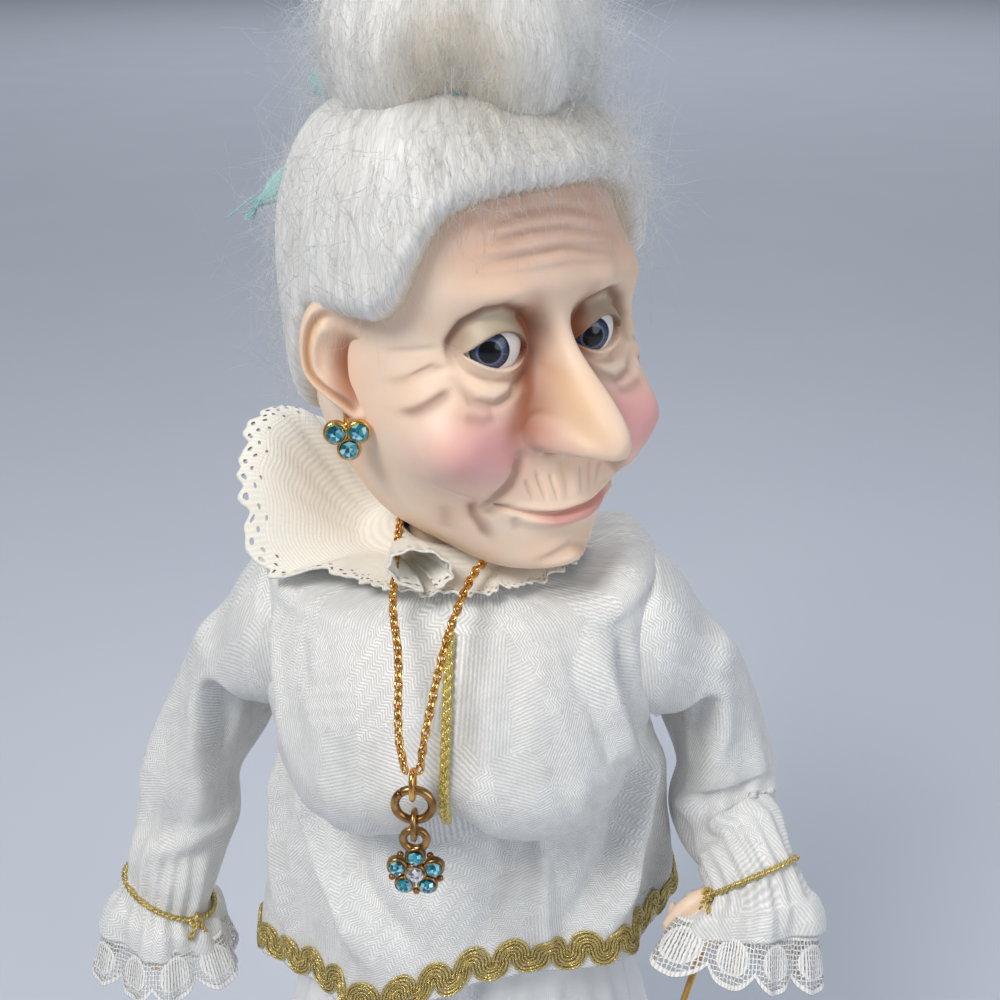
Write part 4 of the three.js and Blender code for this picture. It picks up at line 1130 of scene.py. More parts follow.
@dataclass(frozen=True)
class Muslin(Finish):
    """Plain woven body cloth."""

    name: str = "muslin"
    light: Colour = tint(226, 212, 188)
    dark: Colour = tint(198, 180, 152)
    thread: float = 0.0011

    def paint(self, s: Shader) -> None:
        """A square weave.

        Args:
            s: the material's shader.
        """
        x, y, z = s.parts(s.place())
        weave = (x + y).wave(self.thread) * z.wave(self.thread) * 0.5 + 0.5
        colour = s.mix(weave, self.dark, self.light)
        s.finish(Base_Color=colour, Roughness=0.9, Normal=s.bump(weave, 0.2, 0.6))


@dataclass(frozen=True)
class Moulded(Finish):
    """Pale moulded plastic."""

    name: str = "moulded_collar"
    light: Colour = tint(228, 204, 178)
    dark: Colour = tint(210, 182, 154)

    def paint(self, s: Shader) -> None:
        """Faint mould marks.

        Args:
            s: the material's shader.
        """
        mark = s.noise(s.place(), 300.0, 3.0)
        colour = s.mix(mark, self.light, self.dark)
        s.finish(Base_Color=colour, Roughness=0.4 + mark * 0.15, Normal=s.bump(mark, 0.05, 0.4))


@dataclass(frozen=True)
class Paper(Finish):
    """Seamless pale studio paper."""

    name: str = "studio_paper"
    light: Colour = tint(206, 212, 222)
    dark: Colour = tint(200, 206, 217)

    def paint(self, s: Shader) -> None:
        """A faint unevenness."""
        s.finish(Base_Color=s.mix(s.noise(s.place(), 6.0), self.light, self.dark), Roughness=0.9)


SKIN, EYE, HAIR, BROCADE, SATIN = Vinyl(), EyeGlass(), Mohair(), Brocade(), Satin()
COTTON, NET, GOLD_THREAD, RIBBON = CottonLace(), NetLace(), MetalThread(), RibbonWeave()
STRAYS = Mohair("stray_mohair", tint(255, 254, 252), tint(240, 239, 236), through=1.0)
BRAID = MetalThread("braid_thread", tint(255, 240, 158), tint(184, 156, 70), 0.5)
GILT = Metal("gilt", tint(244, 196, 116), tint(214, 156, 82), 0.16)
ANTIQUE = Metal("antique_gilt", tint(196, 152, 96), tint(120, 84, 50), 0.24)
AQUA = CutGlass("aqua_glass", tint(8, 70, 92), tint(44, 160, 182), tint(190, 238, 242))
CLEAR = CutGlass("clear_glass", tint(120, 116, 124), tint(206, 206, 216), tint(255, 252, 248))


@dataclass
class Piece:
    """One finished object: its surface, finish and the CAD nodes that it stands for."""

    name: str
    surface: Surface
    finish: Finish
    body: Body
    slot: Slot
    replaces: tuple[str, ...] = ()
    thickness: float = 0.0
    soft: bool = True
    bends_from: tuple[Body, Array, Array] | None = None

    def add(self) -> bpy.types.Object:
        """Makes the object and thickens it; ties it to its body, except a piece with bends_from, whose place
        is only baked.

        Returns:
            The object.
        """
        mesh = self.surface.mesh(self.name, self.soft)
        mesh.materials.append(self.finish.material())
        made = bpy.data.objects.new(self.name, mesh)
        bpy.context.scene.collection.objects.link(made)
        if self.thickness:
            shell = made.modifiers.new("thickness", "SOLIDIFY")
            shell.thickness, shell.offset, shell.use_even_offset = self.thickness * MM, -1.0, False
        if self.bends_from:
            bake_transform(made)
        else:
            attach(made, self.body.value)
        if self.replaces:
            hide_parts(*self.replaces)
        LOG.info("%s: %d points, %d faces", self.name, len(self.surface.points), len(self.surface.faces))
        return made


# Head


@dataclass(frozen=True)
class HeadFrame:
    """Where the head stands: its middle at eye level, and how far it is turned to her left."""

    eye_level: float = 263.0
    turn: float = np.radians(43.0)

    def placed(self, points: Array) -> Array:
        """Points of the head's own frame in the doll's frame.

        Args:
            points: places along the last axis.
        Returns:
            The same places, turned and raised.
        """
        c, s = np.cos(self.turn), np.sin(self.turn)
        x, y, z = points[..., 0], points[..., 1], points[..., 2]
        return np.stack([c * x - s * y, s * x + c * y, z + self.eye_level], -1)

    def put(self, part: Surface) -> Surface:
        """A surface of the head's own frame in the doll's frame."""
        return Surface(self.placed(part.points), part.faces, part.uv, part.marks)


@dataclass(frozen=True)
class Skull:
    """The plain head without features: sections by height from eye level."""

    stations: tuple[tuple[float, ...], ...] = (
        (-40.7, 10, 10, 10), (-39.5, 11.5, 22, 11), (-37.9, 14, 27.5, 12.5), (-33.5, 17.5, 29, 15.5),
        (-26, 21.5, 28.5, 20), (-17, 24.7, 27.5, 23), (-8, 25.5, 27, 25), (0, 25.5, 25.5, 26.5),
        (10, 25.5, 27, 27), (20, 24, 24, 26), (28, 19.5, 18.5, 22), (33, 12.5, 11, 14.5), (35.5, 4, 4, 5),
    )
    fullness: float = 2.45

    def section(self, angle: Array, z: Array, grown: Array | float = 0.0) -> tuple[Array, Array]:
        """x and y of the skull at a height, grown on every side."""
        half, front, back = np.moveaxis(through(self.stations, z), -1, 0)
        return oval(half + grown, front + grown, back + grown, self.fullness, angle)


HEAD_FRAME, SKULL = HeadFrame(), Skull()

# Lines of an old face on both sides: points (out, up), half width, depth, and how dark the painted shade in
# it is.
FACE_LINES = (
    (((17.4, -4.6), (15.8, -7.4), (13, -8.6), (9.9, -7.2), (6.6, -4)), 0.85, 1.0, 0.45),
    (((15.8, -3.2), (13, -5.0), (9.5, -5.0), (6.6, -3.2)), 0.5, 0.35, 0.3),
    (((17.3, -2.0), (17.2, 1.5), (16, 4.8), (13.8, 6.9), (11, 7.3), (7.4, 5.6), (5.0, 1.6)), 0.85, 1.1, 1.0),
    (((24.4, -6.0), (20.8, -3.4), (18.2, -2.4)), 0.6, 0.6, 0.4),
    (((23.4, -10.2), (20.6, -7.8), (18.4, -5.8)), 0.7, 0.8, 0.9),
    (((22.0, -4.4), (19.4, -2.0)), 0.45, 0.4, 0.3),
    (((17.4, -9.4), (14.4, -10.4), (12.4, -10.2)), 0.9, 0.3, 0.45),
    (((24.2, -0.6), (19.2, 0.6)), 0.55, 0.4, 0.25),
    (((5.6, 6.6), (4.0, 1.6), (4.6, -3.5), (6.6, -8.3), (8.6, -12.4)), 1.7, 0.5, 0.55),
    (((8.6, -17.6), (9.8, -21), (12.4, -24.3), (14.4, -28.4)), 1.1, 1.3, 0.5),
    (((15.6, -25.4), (14.4, -29.0), (12.4, -32.6)), 0.75, 1.1, 0.75),
    (((13.6, -28.4), (12.4, -27.0), (10.6, -26.4)), 0.6, 0.7, 0.5),
    (((17.8, -27.2), (16.2, -32.6)), 0.55, 0.6, 0.35),
    (((10.2, -22.2), (12.2, -24.6)), 0.7, 0.5, 0.4),
    (((8.2, -22.2), (7.0, -26.0)), 0.36, 0.4, 0.2),
    (((6.0, -21.6), (4.9, -26.2)), 0.36, 0.4, 0.2),
    (((3.4, -22.4), (2.7, -26.4)), 0.36, 0.35, 0.18),
    (((10.2, -28.4), (9.4, -31.0)), 0.6, 0.45, 0.3),
)
# Painted shade beside the nose, partly the doll's own paint, as points (out, up).
NOSE_SHADE = ((6.4, 7), (5.0, 2), (5.4, -3), (7.2, -8), (9.2, -13), (9.6, -16.5))
# Lines right across the face.
BROAD_LINES = (
    (((-13, 19.0), (-4, 20.4), (4, 20.2), (13, 18.6)), 0.6, 0.6, 0.2),
    (((-14, 16.3), (-5, 17.6), (3, 17.2), (14, 16.0)), 0.6, 0.6, 0.2),
    (((-14, 13.6), (-6, 14.4), (0, 14.6), (14, 13.0)), 0.6, 0.5, 0.18),
    (((-6, -36.0), (0, -34.7), (6, -36.0)), 0.8, 0.8, 0.3),
)


@dataclass
class Face:
    """The moulded head: skull, face, painted tints and painted shade, ears and glass eyes."""

    columns: int = 336
    neck_low: float = -54.4
    neck_radius: float = 10.0
    cheek: float = 6.5
    nose: float = 11.6
    eye_out: float = 10.4
    eye_deep: float = 20.4
    eye_radius: float = 5.4
    lid_radius: float = 6.25
    tilt: float = 0.13
    mouth_half: float = 12.6
    ear_at: tuple[float, float, float] = (27.0, -3.0, -4.0)
    ear_half: tuple[float, float] = (6.8, 11.2)
    ear_splay: float = np.radians(40.0)
    ear_lean: float = np.radians(-8.0)
    chin: float = 1.8
    texture: tuple[float, float] = (160.0, 90.0)
    ear_texture: tuple[float, float] = (40.0, 40.0)

    def level(self, x: Array, z: Array) -> Array:
        """Height on the face as it is drawn: her left half sits a little lower."""
        return z + self.tilt * x * smooth(x, -2, 6)

    def opening(self, out: Array, z: Array) -> Array:
        """How far inside the almond between the lids a place is; negative outside it.

        Args:
            out: distance from the eye's middle, away from the nose.
            z: height.
        Returns:
            The distance inside it.
        """
        t = (out - 0.5) / 5.5
        middle = -0.9 + 0.5 * t
        room = np.maximum(1 - t**2, 0)
        upper, lower = middle + 3.9 * room**0.8, middle - 2.1 * room
        return np.where(np.abs(t) < 1, np.minimum(upper - z, z - lower), -1.0)

    def mouth(self, x: Array) -> Array:
        """Height of the line between the lips: low in the middle, with raised corners."""
        return -29.2 + 2.9 * (x / self.mouth_half) ** 2

    def relief(self, x: Array, z: Array) -> tuple[Array, dict[str, Array]]:
        """How far each place stands out of the plain face, and its paint and painted shade.

        Args:
            x, z: places on the face seen from the front.
        Returns:
            The height towards her front, and the marks of each tint and of the painted shade.
        """
        side = np.abs(x)
        out = side - self.eye_out
        bridge = smooth(-z, -8, 12) * (1 - smooth(-z, 15.2, 18.6))
        half = 2.7 + 2.7 * smooth(-z, 1, 12)
        rise = self.nose * bridge * hump(side, half, 2.8)
        rise += 3.4 * mound(x, z, (0, -12.6), (4.8, 4.6)) + 4.4 * mound(side, z, (5.4, -14.2), (2.2, 2.6))
        wing = hump(np.hypot(side - 4.5, (z + 13.9) * 0.95) - 3.6, 0.55) * smooth(side, 4.5, 7.0)
        nostril = mound(side, z, (3.0, -17.7), (1.4, 0.9))
        rise += -0.8 * wing - 2.4 * nostril
        rise += 1.7 * mound(side, z, (11, 9.2), (7, 2.8)) + 0.8 * mound(x, z, (0, 8.5), (4, 4))
        rise -= 3.5 * mound(out, z, (0, 0.5), (6.5, 5)) + 1.0 * mound(side, z, (23, 7), (5, 8))
        pouch = 1.1 * mound(side, z, (12.4, -6.4), (4.6, 1.7))
        rise += pouch + 0.9 * mound(side, z, (12.6, -20.5), (3.5, 4))
        # Painted shade in the nostrils and round the wings, then in each line.
        brown = 0.4 * wing + 0.8 * nostril
        for lines, across in ((FACE_LINES, side), (BROAD_LINES, x)):
            for points, width, depth, dark in lines:
                cover = on_line(across, z, points, width)
                rise -= depth * cover
                brown = np.maximum(brown, dark * cover)
        forehead = smooth(z, 10.5, 13) * (1 - smooth(side, 10, 18))
        rise += 0.2 * forehead * np.cos((z - 16.0) * TURN / 2.9)
        lips, lip_marks = self.lips(x, z)
        rise += lips + 2.4 * mound(x, z, (0, -37.0), (7, 3))
        gap = self.opening(out, z)
        marks = {
            "blush": hump(np.hypot((side - 14.2) / 7.4, (z + 15.6) / 7.0), 1, 2.6),
            # Painted shade on the side of the nose.
            "ochre": 0.45 * on_line(side, z, ((2.6, -3), (3.4, -9), (4.2, -13)), 1.5),
            "bag": 0.55 * mound(side, z, (12.0, -6.6), (4.4, 1.7)),
            "lid": hump(np.hypot(out / 6.9, (z - 2.2) / 5.0), 1, 4) * smooth(z - 0.15 * out, -2.2, 0.2),
            # Painted shade in the lines and along the lid opening.
            "brown": np.clip(np.maximum(brown, 0.75 * hump(gap, 0.5) * smooth(z, -1.5, 0.5)), 0, 1),
            "forehead": smooth(z, 6, 16) * (1 - smooth(side, 14, 23)),
            # Painted shade beside the nose, partly the doll's own paint.
            "orange": 0.95 * on_line(side, z, NOSE_SHADE, 2.3),
            **lip_marks,
        }
        return rise, marks

    def lips(self, x: Array, z: Array) -> tuple[Array, dict[str, Array]]:
        """Closed lips: a groove with a thin upper and a fuller lower roll, and the pink on them.

        Args:
            x, z: places on the face seen from the front.
        Returns:
            The height towards her front, and the mark of the pink.
        """
        line = self.mouth(x)
        taper = np.clip(1 - (x / self.mouth_half) ** 2, 0, 1)
        upper = 0.7 * taper**0.7 * hump(z - line - 0.9, 0.7)
        lower = 1.5 * taper * hump(z - line + 1.2, 0.95)
        groove = 1.3 * hump(z - line, 0.42) * smooth(taper, -0.05, 0.12)
        philtrum = 0.5 * hump(x, 1.1) * smooth(z, -27.5, -25) * (1 - smooth(z, -21, -19.5))
        full = 1.2 * mound(x, z, (0, -27), (10, 4))
        pink = smooth(taper, 0.1, 0.6) * smooth(x, -9, -3) * hump(z - line + 0.7, 1.25, 4)
        return upper + lower - groove - philtrum + full, {"lips": pink}

    def head_surface(self) -> Surface:
        """The head as heights by directions: skull sections, cheeks pushed out, then relief to her front.

        The lids are a sphere round each eye, merged softly with the socket, and pressed in behind the eye
        where the almond opening is.

        Returns:
            The closed surface with its marks.
        """
        rows = np.r_[
            np.linspace(self.neck_low, -41, 4), np.linspace(-40.7, -37, 26, endpoint=False),
            np.linspace(-37, 21, 226, endpoint=False), np.linspace(21, 35.5, 16),
        ][:, None]
        dense = np.linspace(-np.pi, np.pi, 2000)
        crowd = np.cumsum(1 + 5.5 * hump(dense, np.radians(62), 4))
        even = np.linspace(0, crowd[-1], self.columns, endpoint=False)
        angle = FRONT + np.interp(even, crowd, dense)[None]
        x, y = SKULL.section(angle, rows)
        neck = rows < -40.8
        x = np.where(neck, self.neck_radius * np.cos(angle), x)
        y = np.where(neck, self.neck_radius * np.sin(angle), y)
        z = rows + 0 * angle
        facing_front = smooth(-np.sin(angle), 0.1, 0.6) * smooth(rows, -40.7, -37.5)
        drawn = self.level(x, z)
        fuller = self.cheek * (1 + 0.25 * smooth(x, 0, 10))
        puff = fuller * mound(np.abs(x), drawn, (19.5, -15.5), (7, 7.5))
        puff = facing_front * (puff + 3.6 * smooth(x, 5, 12) * mound(x, drawn, (17.5, -24.5), (7, 6)))
        rise, marks = self.relief(x, drawn)
        side = np.sign(x)
        temple = 4.6 * facing_front * smooth(x, 13, 20) * hump(drawn - 3, 12, 4)
        y = y - 0.87 * puff - 0.55 * temple - rise * facing_front
        y = self.lidded(x, y, drawn, facing_front)
        z = z - 0.1 * np.maximum(rise, 0) * mound(x, drawn, (0, -13), (7, 5)) * facing_front
        ahead = smooth(-np.sin(angle), 0.2, 0.9)
        z = z - self.chin * smooth(-rows, 27, 37.5) * smooth(rows, -40.8, -40) * ahead
        points = np.stack([x + 0.5 * side * puff + 0.6 * temple, y, z], -1)
        shown = {name: value * facing_front for name, value in marks.items()}
        return HEAD_FRAME.put(Surface.grid(points, self.texture, True, caps=True, marks=shown))

    def lidded(self, x: Array, y: Array, z: Array, share: Array) -> Array:
        """Depth of the face with the two lids laid over the eyes and their openings pressed in.

        Args:
            x, y, z: places on the face.
            share: how far each place faces the front.
        Returns:
            The new y.
        """
        out = np.abs(x) - self.eye_out
        room = self.lid_radius**2 - out**2 - z**2
        lid = -self.eye_deep - np.sqrt(np.maximum(room, 0))
        blend = np.clip(0.5 + 0.5 * (y - lid) / 1.2, 0, 1)
        merged = y * (1 - blend) + lid * blend - 1.2 * blend * (1 - blend)
        y = np.where((room > 0) & (share > 0.5), merged, y)
        gap = self.opening(out, z)
        rim = 0.3 * hump(gap + 0.45, 0.32) * (share > 0.5)
        pressed = 4.6 * smooth(gap, -0.12, 0.5) * (share > 0.5)
        return y - rim + pressed

    def ear_surface(self, side: Side) -> Surface:
        """An ear shell: rows go out over its front face and back over its rear.

        The front has a rolled rim, a groove, an inner ridge and a bowl; the rear is a plain curve.

        Args:
            side: which one.
        Returns:
            The closed surface with its marks.
        """
        t = np.linspace(0.02, 1.98, 70)[:, None]
        angle = directions(84)[None]
        front = t <= 1
        reach = np.where(front, t, 2 - t)
        deep, tall = self.ear_half
        low = smooth(-np.sin(angle), 0.0, 1.0)
        forward = deep * (1 - 0.35 * low) * reach * np.cos(angle) + 2.2 * low * reach
        up = tall * reach * np.sin(angle) * (1 - 0.05 * np.cos(angle))
        rim = 1.9 * hump(reach - 0.88, 0.1) * (0.35 + 0.65 * smooth(np.sin(angle - 0.4), -0.7, 0.2))
        ridge = 1.5 * hump(reach - 0.56, 0.12) * smooth(-np.cos(angle), -0.3, 0.5)
        bowl = hump(np.hypot((forward - 1.6) / 3.2, (up + 1.8) / 6.2), 1, 4)
        face = 1.0 + (rim + ridge) * smooth(-forward, -4.0, -1.0) - 2.4 * bowl
        edge = np.sqrt(np.maximum(1 - reach**6, 0))
        out = np.where(front, face * edge, -(1.4 * np.sqrt(np.maximum(1 - reach**2, 0))))
        groove = hump(reach - 0.74, 0.07) * smooth(-np.cos(angle), -0.1, 0.5)
        # Painted shade in the bowl and the groove, the bowl's partly the doll's own paint.
        paint = np.where(front, np.clip(bowl + 0.4 * groove, 0, 1), 0)
        c, s = np.cos(self.ear_lean), np.sin(self.ear_lean)
        y = -forward * c - up * s
        z = up * c - forward * s
        c, s = np.cos(self.ear_splay), np.sin(self.ear_splay)
        x = out * c + y * s
        y = y * c - out * s
        # All three marks carry painted shade in the bowl and the groove.
        marks = {"orange": paint, "brown": 0.22 * bowl * front, "ochre": 0.6 * groove * front}
        points = np.stack([x, y, z], -1)
        points = points * (side.value, 1, 1) + np.array(self.ear_at) * (side.value, 1, 1)
        if side is Side.LEFT:
            points = points[:, ::-1]
            shape = points.shape[:2]
            marks = {name: np.broadcast_to(value, shape)[:, ::-1] for name, value in marks.items()}
        return HEAD_FRAME.put(Surface.grid(points, self.ear_texture, True, caps=True, marks=marks))

    def eye_surface(self, side: Side) -> Surface:
        """A ball whose pole looks along the gaze, with the clear front raised a little.

        Args:
            side: which one.
        Returns:
            The closed surface.
        """
        gaze = unit(np.array((-3.1, -4.4, 0.1) if side is Side.RIGHT else (-2.0, -4.9, -0.3)))
        away = np.linspace(0.5, 175, 90)[:, None]
        turn = directions(72)[None]
        across = unit(np.cross(gaze, (0, 0, 1)))
        up = np.cross(across, gaze)
        r = self.eye_radius + 0.3 * hump(away, 24)
        spread = np.cos(turn)[..., None] * across - np.sin(turn)[..., None] * up
        direction = np.cos(np.radians(away))[..., None] * gaze + np.sin(np.radians(away))[..., None] * spread
        x = side.value * self.eye_out
        centre = np.array([x, -self.eye_deep, -(self.level(np.array(x), np.array(0.0)))])
        points = centre + r[..., None] * direction
        return HEAD_FRAME.put(Surface.grid(points, (1.0, 175.0), True, caps=True))

    def build(self) -> None:
        """Adds the head, ears and eyes."""
        Piece("face", self.head_surface(), SKIN, Body.HEAD, Slot.SKIN, ("head",)).add()
        for side in Side:
            Piece(f"{side.label}_ear", self.ear_surface(side), SKIN, Body.HEAD, Slot.SKIN).add()
            node = f"{side.label}_eye"
            Piece(f"{node}_ball", self.eye_surface(side), EYE, Body.HEAD, Slot.EYE_GLASS, (node,)).add()


@dataclass
class Hair:
    """Combed mohair with a bun, loose fibres and a ribbon round the bun."""

    thick: float = 5.6
    behind: float = 2.4
    edge: tuple[tuple[float, float], ...] = (
        (0, 23.8), (18, 23.6), (30, 22.6), (41, 20.8), (48, 17.6), (56, 12), (60, 7.5), (68, 4.3), (82, 4.2),
        (93, 3.4), (99, -3), (108, -12), (124, -18.5), (180, -20),
    )
    crown: float = 38.0
    bun_low: float = 31.0
    bun_height: float = 30.0
    bun_radius: float = 24.0
    bun_at: tuple[float, float] = (1.6, 0.6)
    bun_profile: tuple[tuple[float, float], ...] = (
        (0, 0.60), (0.1, 0.86), (0.34, 1.0), (0.58, 0.97), (0.84, 0.78), (0.95, 0.5), (1, 0.1),
    )
    fibres: int = 2700
    fibre_radius: float = 0.045
    cap_grid: tuple[int, int] = (120, 620)
    cap_texture: tuple[float, float] = (180.0, 75.0)
    bun_grid: tuple[int, int] = (110, 460)
    bun_texture: tuple[float, float] = (150.0, 60.0)
    ribbon: float = 5.0
    ribbon_thick: float = 0.2
    near_tail: tuple[tuple[float, ...], ...] = (
        (0, 1, 0), (-3, 4.6, -7), (-8.5, 5, -14), (-15, 5, -18), (-19.5, 4, -19.8),
    )
    far_tail: tuple[tuple[float, ...], ...] = ((0, 1, 0), (4, 5, -6), (9, 5, -17))

    def cap_points(self, rows: int, columns: int) -> tuple[Array, Array]:
        """Grid over the combed hair, from the hairline up to the crown.

        Columns start at the hairline with a rolled edge, follow the grown skull and close under the bun.

        Args:
            rows, columns: size of the grid.
        Returns:
            Places in the head's frame, and how shaded each is.
        """
        t = np.linspace(0, 1, rows)[:, None]
        angle = directions(columns)[None]
        table = np.array(self.edge)
        reach = np.abs(np.arange(-12, 193))
        reach = np.where(reach > 180, 360 - reach, reach)
        soft = np.convolve(np.interp(reach, table[:, 0], table[:, 1]), np.ones(7) / 7, "same")
        turned = np.degrees(apart(angle, FRONT))
        low = np.interp(turned, np.arange(0, 181), soft[12:193])
        low = low + 0.25 * ripple(4, angle, 0 * angle, (60, 140), 0.0)
        z = low + (self.crown - low) * t**0.92
        climb = (z - low) / 5.0
        full = self.thick - self.behind * smooth(turned, 75, 130)
        grown = full * np.sqrt(np.clip(1 - (1 - np.clip(climb, 0, 1)) ** 2, 0.012, 1))
        x, y = SKULL.section(angle, z - 3.2 * smooth(z, 18, 36), grown)
        lumps = 0.35 * ripple(5, angle, z, (5, 16), 0.05) + 0.13 * ripple(6, angle, z, (24, 60), 0.05)
        fine = 0.07 * ripple(7, angle, z, (120, 260), 0.08, 14)
        out = unit(np.stack([x, y, 0 * x], -1)) * ((lumps + fine) * smooth(climb, 0.1, 1.2))[..., None]
        points = np.stack([x, y, z], -1) + out
        shade = hump(apart(angle, FRONT + np.radians(12)), np.radians(42)) * smooth(z, 24, 36) * 0.5
        shade = np.maximum(shade, 0.8 * hump(climb, 0.14))
        return points, np.broadcast_to(shade, points.shape[:2])

    def bun_points(self, rows: int, columns: int) -> tuple[Array, Array]:
        """Grid over the bun: a squat round with a cleft towards the front, wound in lumps.

        Args:
            rows, columns: size of the grid.
        Returns:
            Places in the head's frame, and how shaded each is.
        """
        t = np.linspace(0.0, 1, rows)[:, None]
        angle = directions(columns)[None]
        cleft_at = FRONT - HEAD_FRAME.turn + np.radians(3)
        cleft = hump(apart(angle, cleft_at), np.radians(20)) * (1 - smooth(t, 0.25, 0.85))
        r = through(self.bun_profile, t)[..., 0]
        swell = 0.05 * ripple(11, angle, 5 * t, (2, 5), 0.6) + 0.02 * ripple(12, angle, 6 * t, (8, 18), 0.8)
        fine = 0.003 * ripple(13, angle, 14 * t, (90, 200), 1.0, 14)
        reach = self.bun_radius * (r * (1 + swell - 0.13 * cleft) + fine)
        x, y = reach * np.cos(angle) + self.bun_at[0], 0.94 * reach * np.sin(angle) + self.bun_at[1]
        sag = 2.6 * (1 - smooth(t, 0.0, 0.5)) * (np.abs(np.sin(angle - cleft_at)) - 0.6 - 0.9 * cleft)
        z = self.bun_low + self.bun_height * t - sag
        shade = np.clip(cleft * 1.2 * smooth(t, 0.0, 0.05), 0, 0.6)
        return np.stack([x, y, z + 0 * x], -1), np.broadcast_to(shade, x.shape)

    def fibre_surface(self, seed: int, points: Array, length: tuple[float, float], lift: float) -> Surface:
        """Loose fibres: thin three-sided wires that leave a grid of points and curl.

        Args:
            seed: picks the fibres.
            points: rows by columns of places they leave from.
            length: shortest and longest.
            lift: share of the direction that points away from the hair.
        Returns:
            All fibres as one surface.
        """
        rng = np.random.default_rng(seed)
        along = unit(np.gradient(points, axis=0))
        out = unit(np.cross(np.roll(points, -1, 1) - np.roll(points, 1, 1), along))
        last = len(points) * 4 // 5
        pick = rng.integers(2, last, self.fibres), rng.integers(0, points.shape[1], self.fibres)
        root, comb, away = points[pick], along[pick], out[pick]
        loose = lift * rng.uniform(0.1, 1.0, (self.fibres, 1)) ** 3
        heading = unit(comb * rng.choice((1.0, -1.0), (self.fibres, 1)) + loose * 2.2 * away
                       + 0.14 * rng.normal(size=(self.fibres, 3)))
        reach = rng.uniform(*length, (self.fibres, 1, 1))
        t = np.linspace(0, 1, 8)[None, :, None]
        swirl = rng.normal(size=(self.fibres, 1, 3))
        path = root[:, None] - 0.4 * away[:, None] + reach * (
            t * heading[:, None] + 0.22 * t**2 * swirl - (0.25 * t**2) * away[:, None]
            + 0.05 * np.sin(t * rng.uniform(4, 11, (self.fibres, 1, 1))) * np.roll(swirl, 1, 2)
        )
        tangent = unit(np.gradient(path, axis=1))
        across = unit(np.cross(tangent, swirl))
        up = np.cross(tangent, across)
        turn = directions(3)[None, None, :, None]
        width = self.fibre_radius * (1 - 0.75 * t[..., None])
        spread = np.cos(turn) * across[:, :, None] + np.sin(turn) * up[:, :, None]
        return copies(path[:, :, None] + width * spread, (0.5, 8.0), False)

    def strip(self, path: Array, lean: Array, width: Array | float) -> Surface:
        """A flat ribbon along a path, spread to both sides of it and slightly cupped.

        Args:
            path: the ribbon's middle line.
            lean: a direction across it.
            width: its width, or one for each place.
        Returns:
            The open strip.
        """
        _, across, up = path_frame(path, lean)
        s = np.linspace(-0.5, 0.5, 9)[None, :, None]
        wide = np.broadcast_to(np.asarray(width, float), (len(path),))[:, None, None]
        points = path[:, None] + wide * (s * across[:, None] + 0.5 * (s**2) * up[:, None])
        length = spans(path).sum()
        return Surface.grid(points, (float(wide.mean()), length))

    def ribbon_surface(self) -> Surface:
        """The ribbon: a band round the bun's base, a bow behind it and two tails, one frayed to a point.

        Returns:
            All of it as one surface.
        """
        knot = np.array((self.bun_at[0] - 3.6, self.bun_at[1] + self.bun_radius + 3.6, 34.0))
        t = np.linspace(0, TURN, 160)
        tuck = 1 - 0.22 * hump(apart(t, FRONT - HEAD_FRAME.turn), 1.25)
        x, y = 21.8 * tuck * np.cos(t) + self.bun_at[0], 20.8 * tuck * np.sin(t) + self.bun_at[1]
        band = np.stack([x, y, 35.4 + 0.6 * np.sin(2 * t)], 1)
        parts = [self.strip(band, (0, 0, 1), self.ribbon)]
        for lean in (-1, 1):
            s = np.linspace(0, TURN, 60)
            rise = 1.0 + 2.6 * np.sin(s) * lean
            reach = np.stack([lean * (2.6 - 2.6 * np.cos(s)), 1.2 + 1.2 * np.sin(s), rise], 1)
            width = self.ribbon * (0.55 + 0.45 * np.sin(s / 2))
            parts.append(self.strip(knot + reach, (0, 1, 0.2), width))
        run = np.linspace(0, 1, 70)
        near = curve(knot + np.array(self.near_tail), 70)
        point = 5.2 * (0.45 + 0.55 * smooth(run, 0, 0.2)) * (1 - 0.9 * smooth(run, 0.7, 1))
        parts.append(self.strip(near, (0.25, 0.35, 1), point))
        far = curve(knot + np.array(self.far_tail), 50)
        parts.append(self.strip(far, (1, 0.2, 0.2), 5.4))
        parts.append(ball(knot + (0, 1, 0), ((3, 0, 0), (0, 2.4, 0), (0, 0, 2.8))))
        rng = np.random.default_rng(31)
        for _ in range(9):
            start = near[-1] + rng.normal(0, 0.5, 3) + (2.2, 0.2, 1.8)
            sway = rng.normal(0, 0.7, (2, 3)) * [[1], [2]]
            ends = start + np.vstack([np.zeros(3), (-2, -0.3, -1.6) + sway[0], (-4.2, -0.8, -2.8) + sway[1]])
            parts.append(tube(curve(ends, 8), 0.09, (0, 0.3, 1), 4))
        return HEAD_FRAME.put(Surface.join(*parts))

    def build(self) -> None:
        """Adds the combed hair, the bun, their fibres and the ribbon."""
        cap, shade = self.cap_points(*self.cap_grid)
        made = Surface.grid(cap, self.cap_texture, True, caps=True, marks={"shade": shade})
        Piece("combed_hair", HEAD_FRAME.put(made), HAIR, Body.HEAD, Slot.HAIR, ("hair_cap",)).add()
        bun, shade = self.bun_points(*self.bun_grid)
        made = Surface.grid(bun, self.bun_texture, True, caps=True, marks={"shade": shade})
        Piece("wound_bun", HEAD_FRAME.put(made), HAIR, Body.HEAD, Slot.HAIR, ("hair_bun",)).add()
        for name, seed, points, length, lift in (
            ("hair_fibres", 21, cap, (5.0, 18.0), 0.9),
            ("bun_fibres", 22, bun, (5.0, 18.0), 1.0),
        ):
            fibres = HEAD_FRAME.put(self.fibre_surface(seed, points, length, lift))
            Piece(name, fibres, STRAYS, Body.HEAD, Slot.HAIR).add()
        bow = Piece(
            "ribbon_bow", self.ribbon_surface(), RIBBON, Body.HEAD, Slot.RIBBON,
            ("hair_ribbon",), self.ribbon_thick,
        ).add()


# Clothes


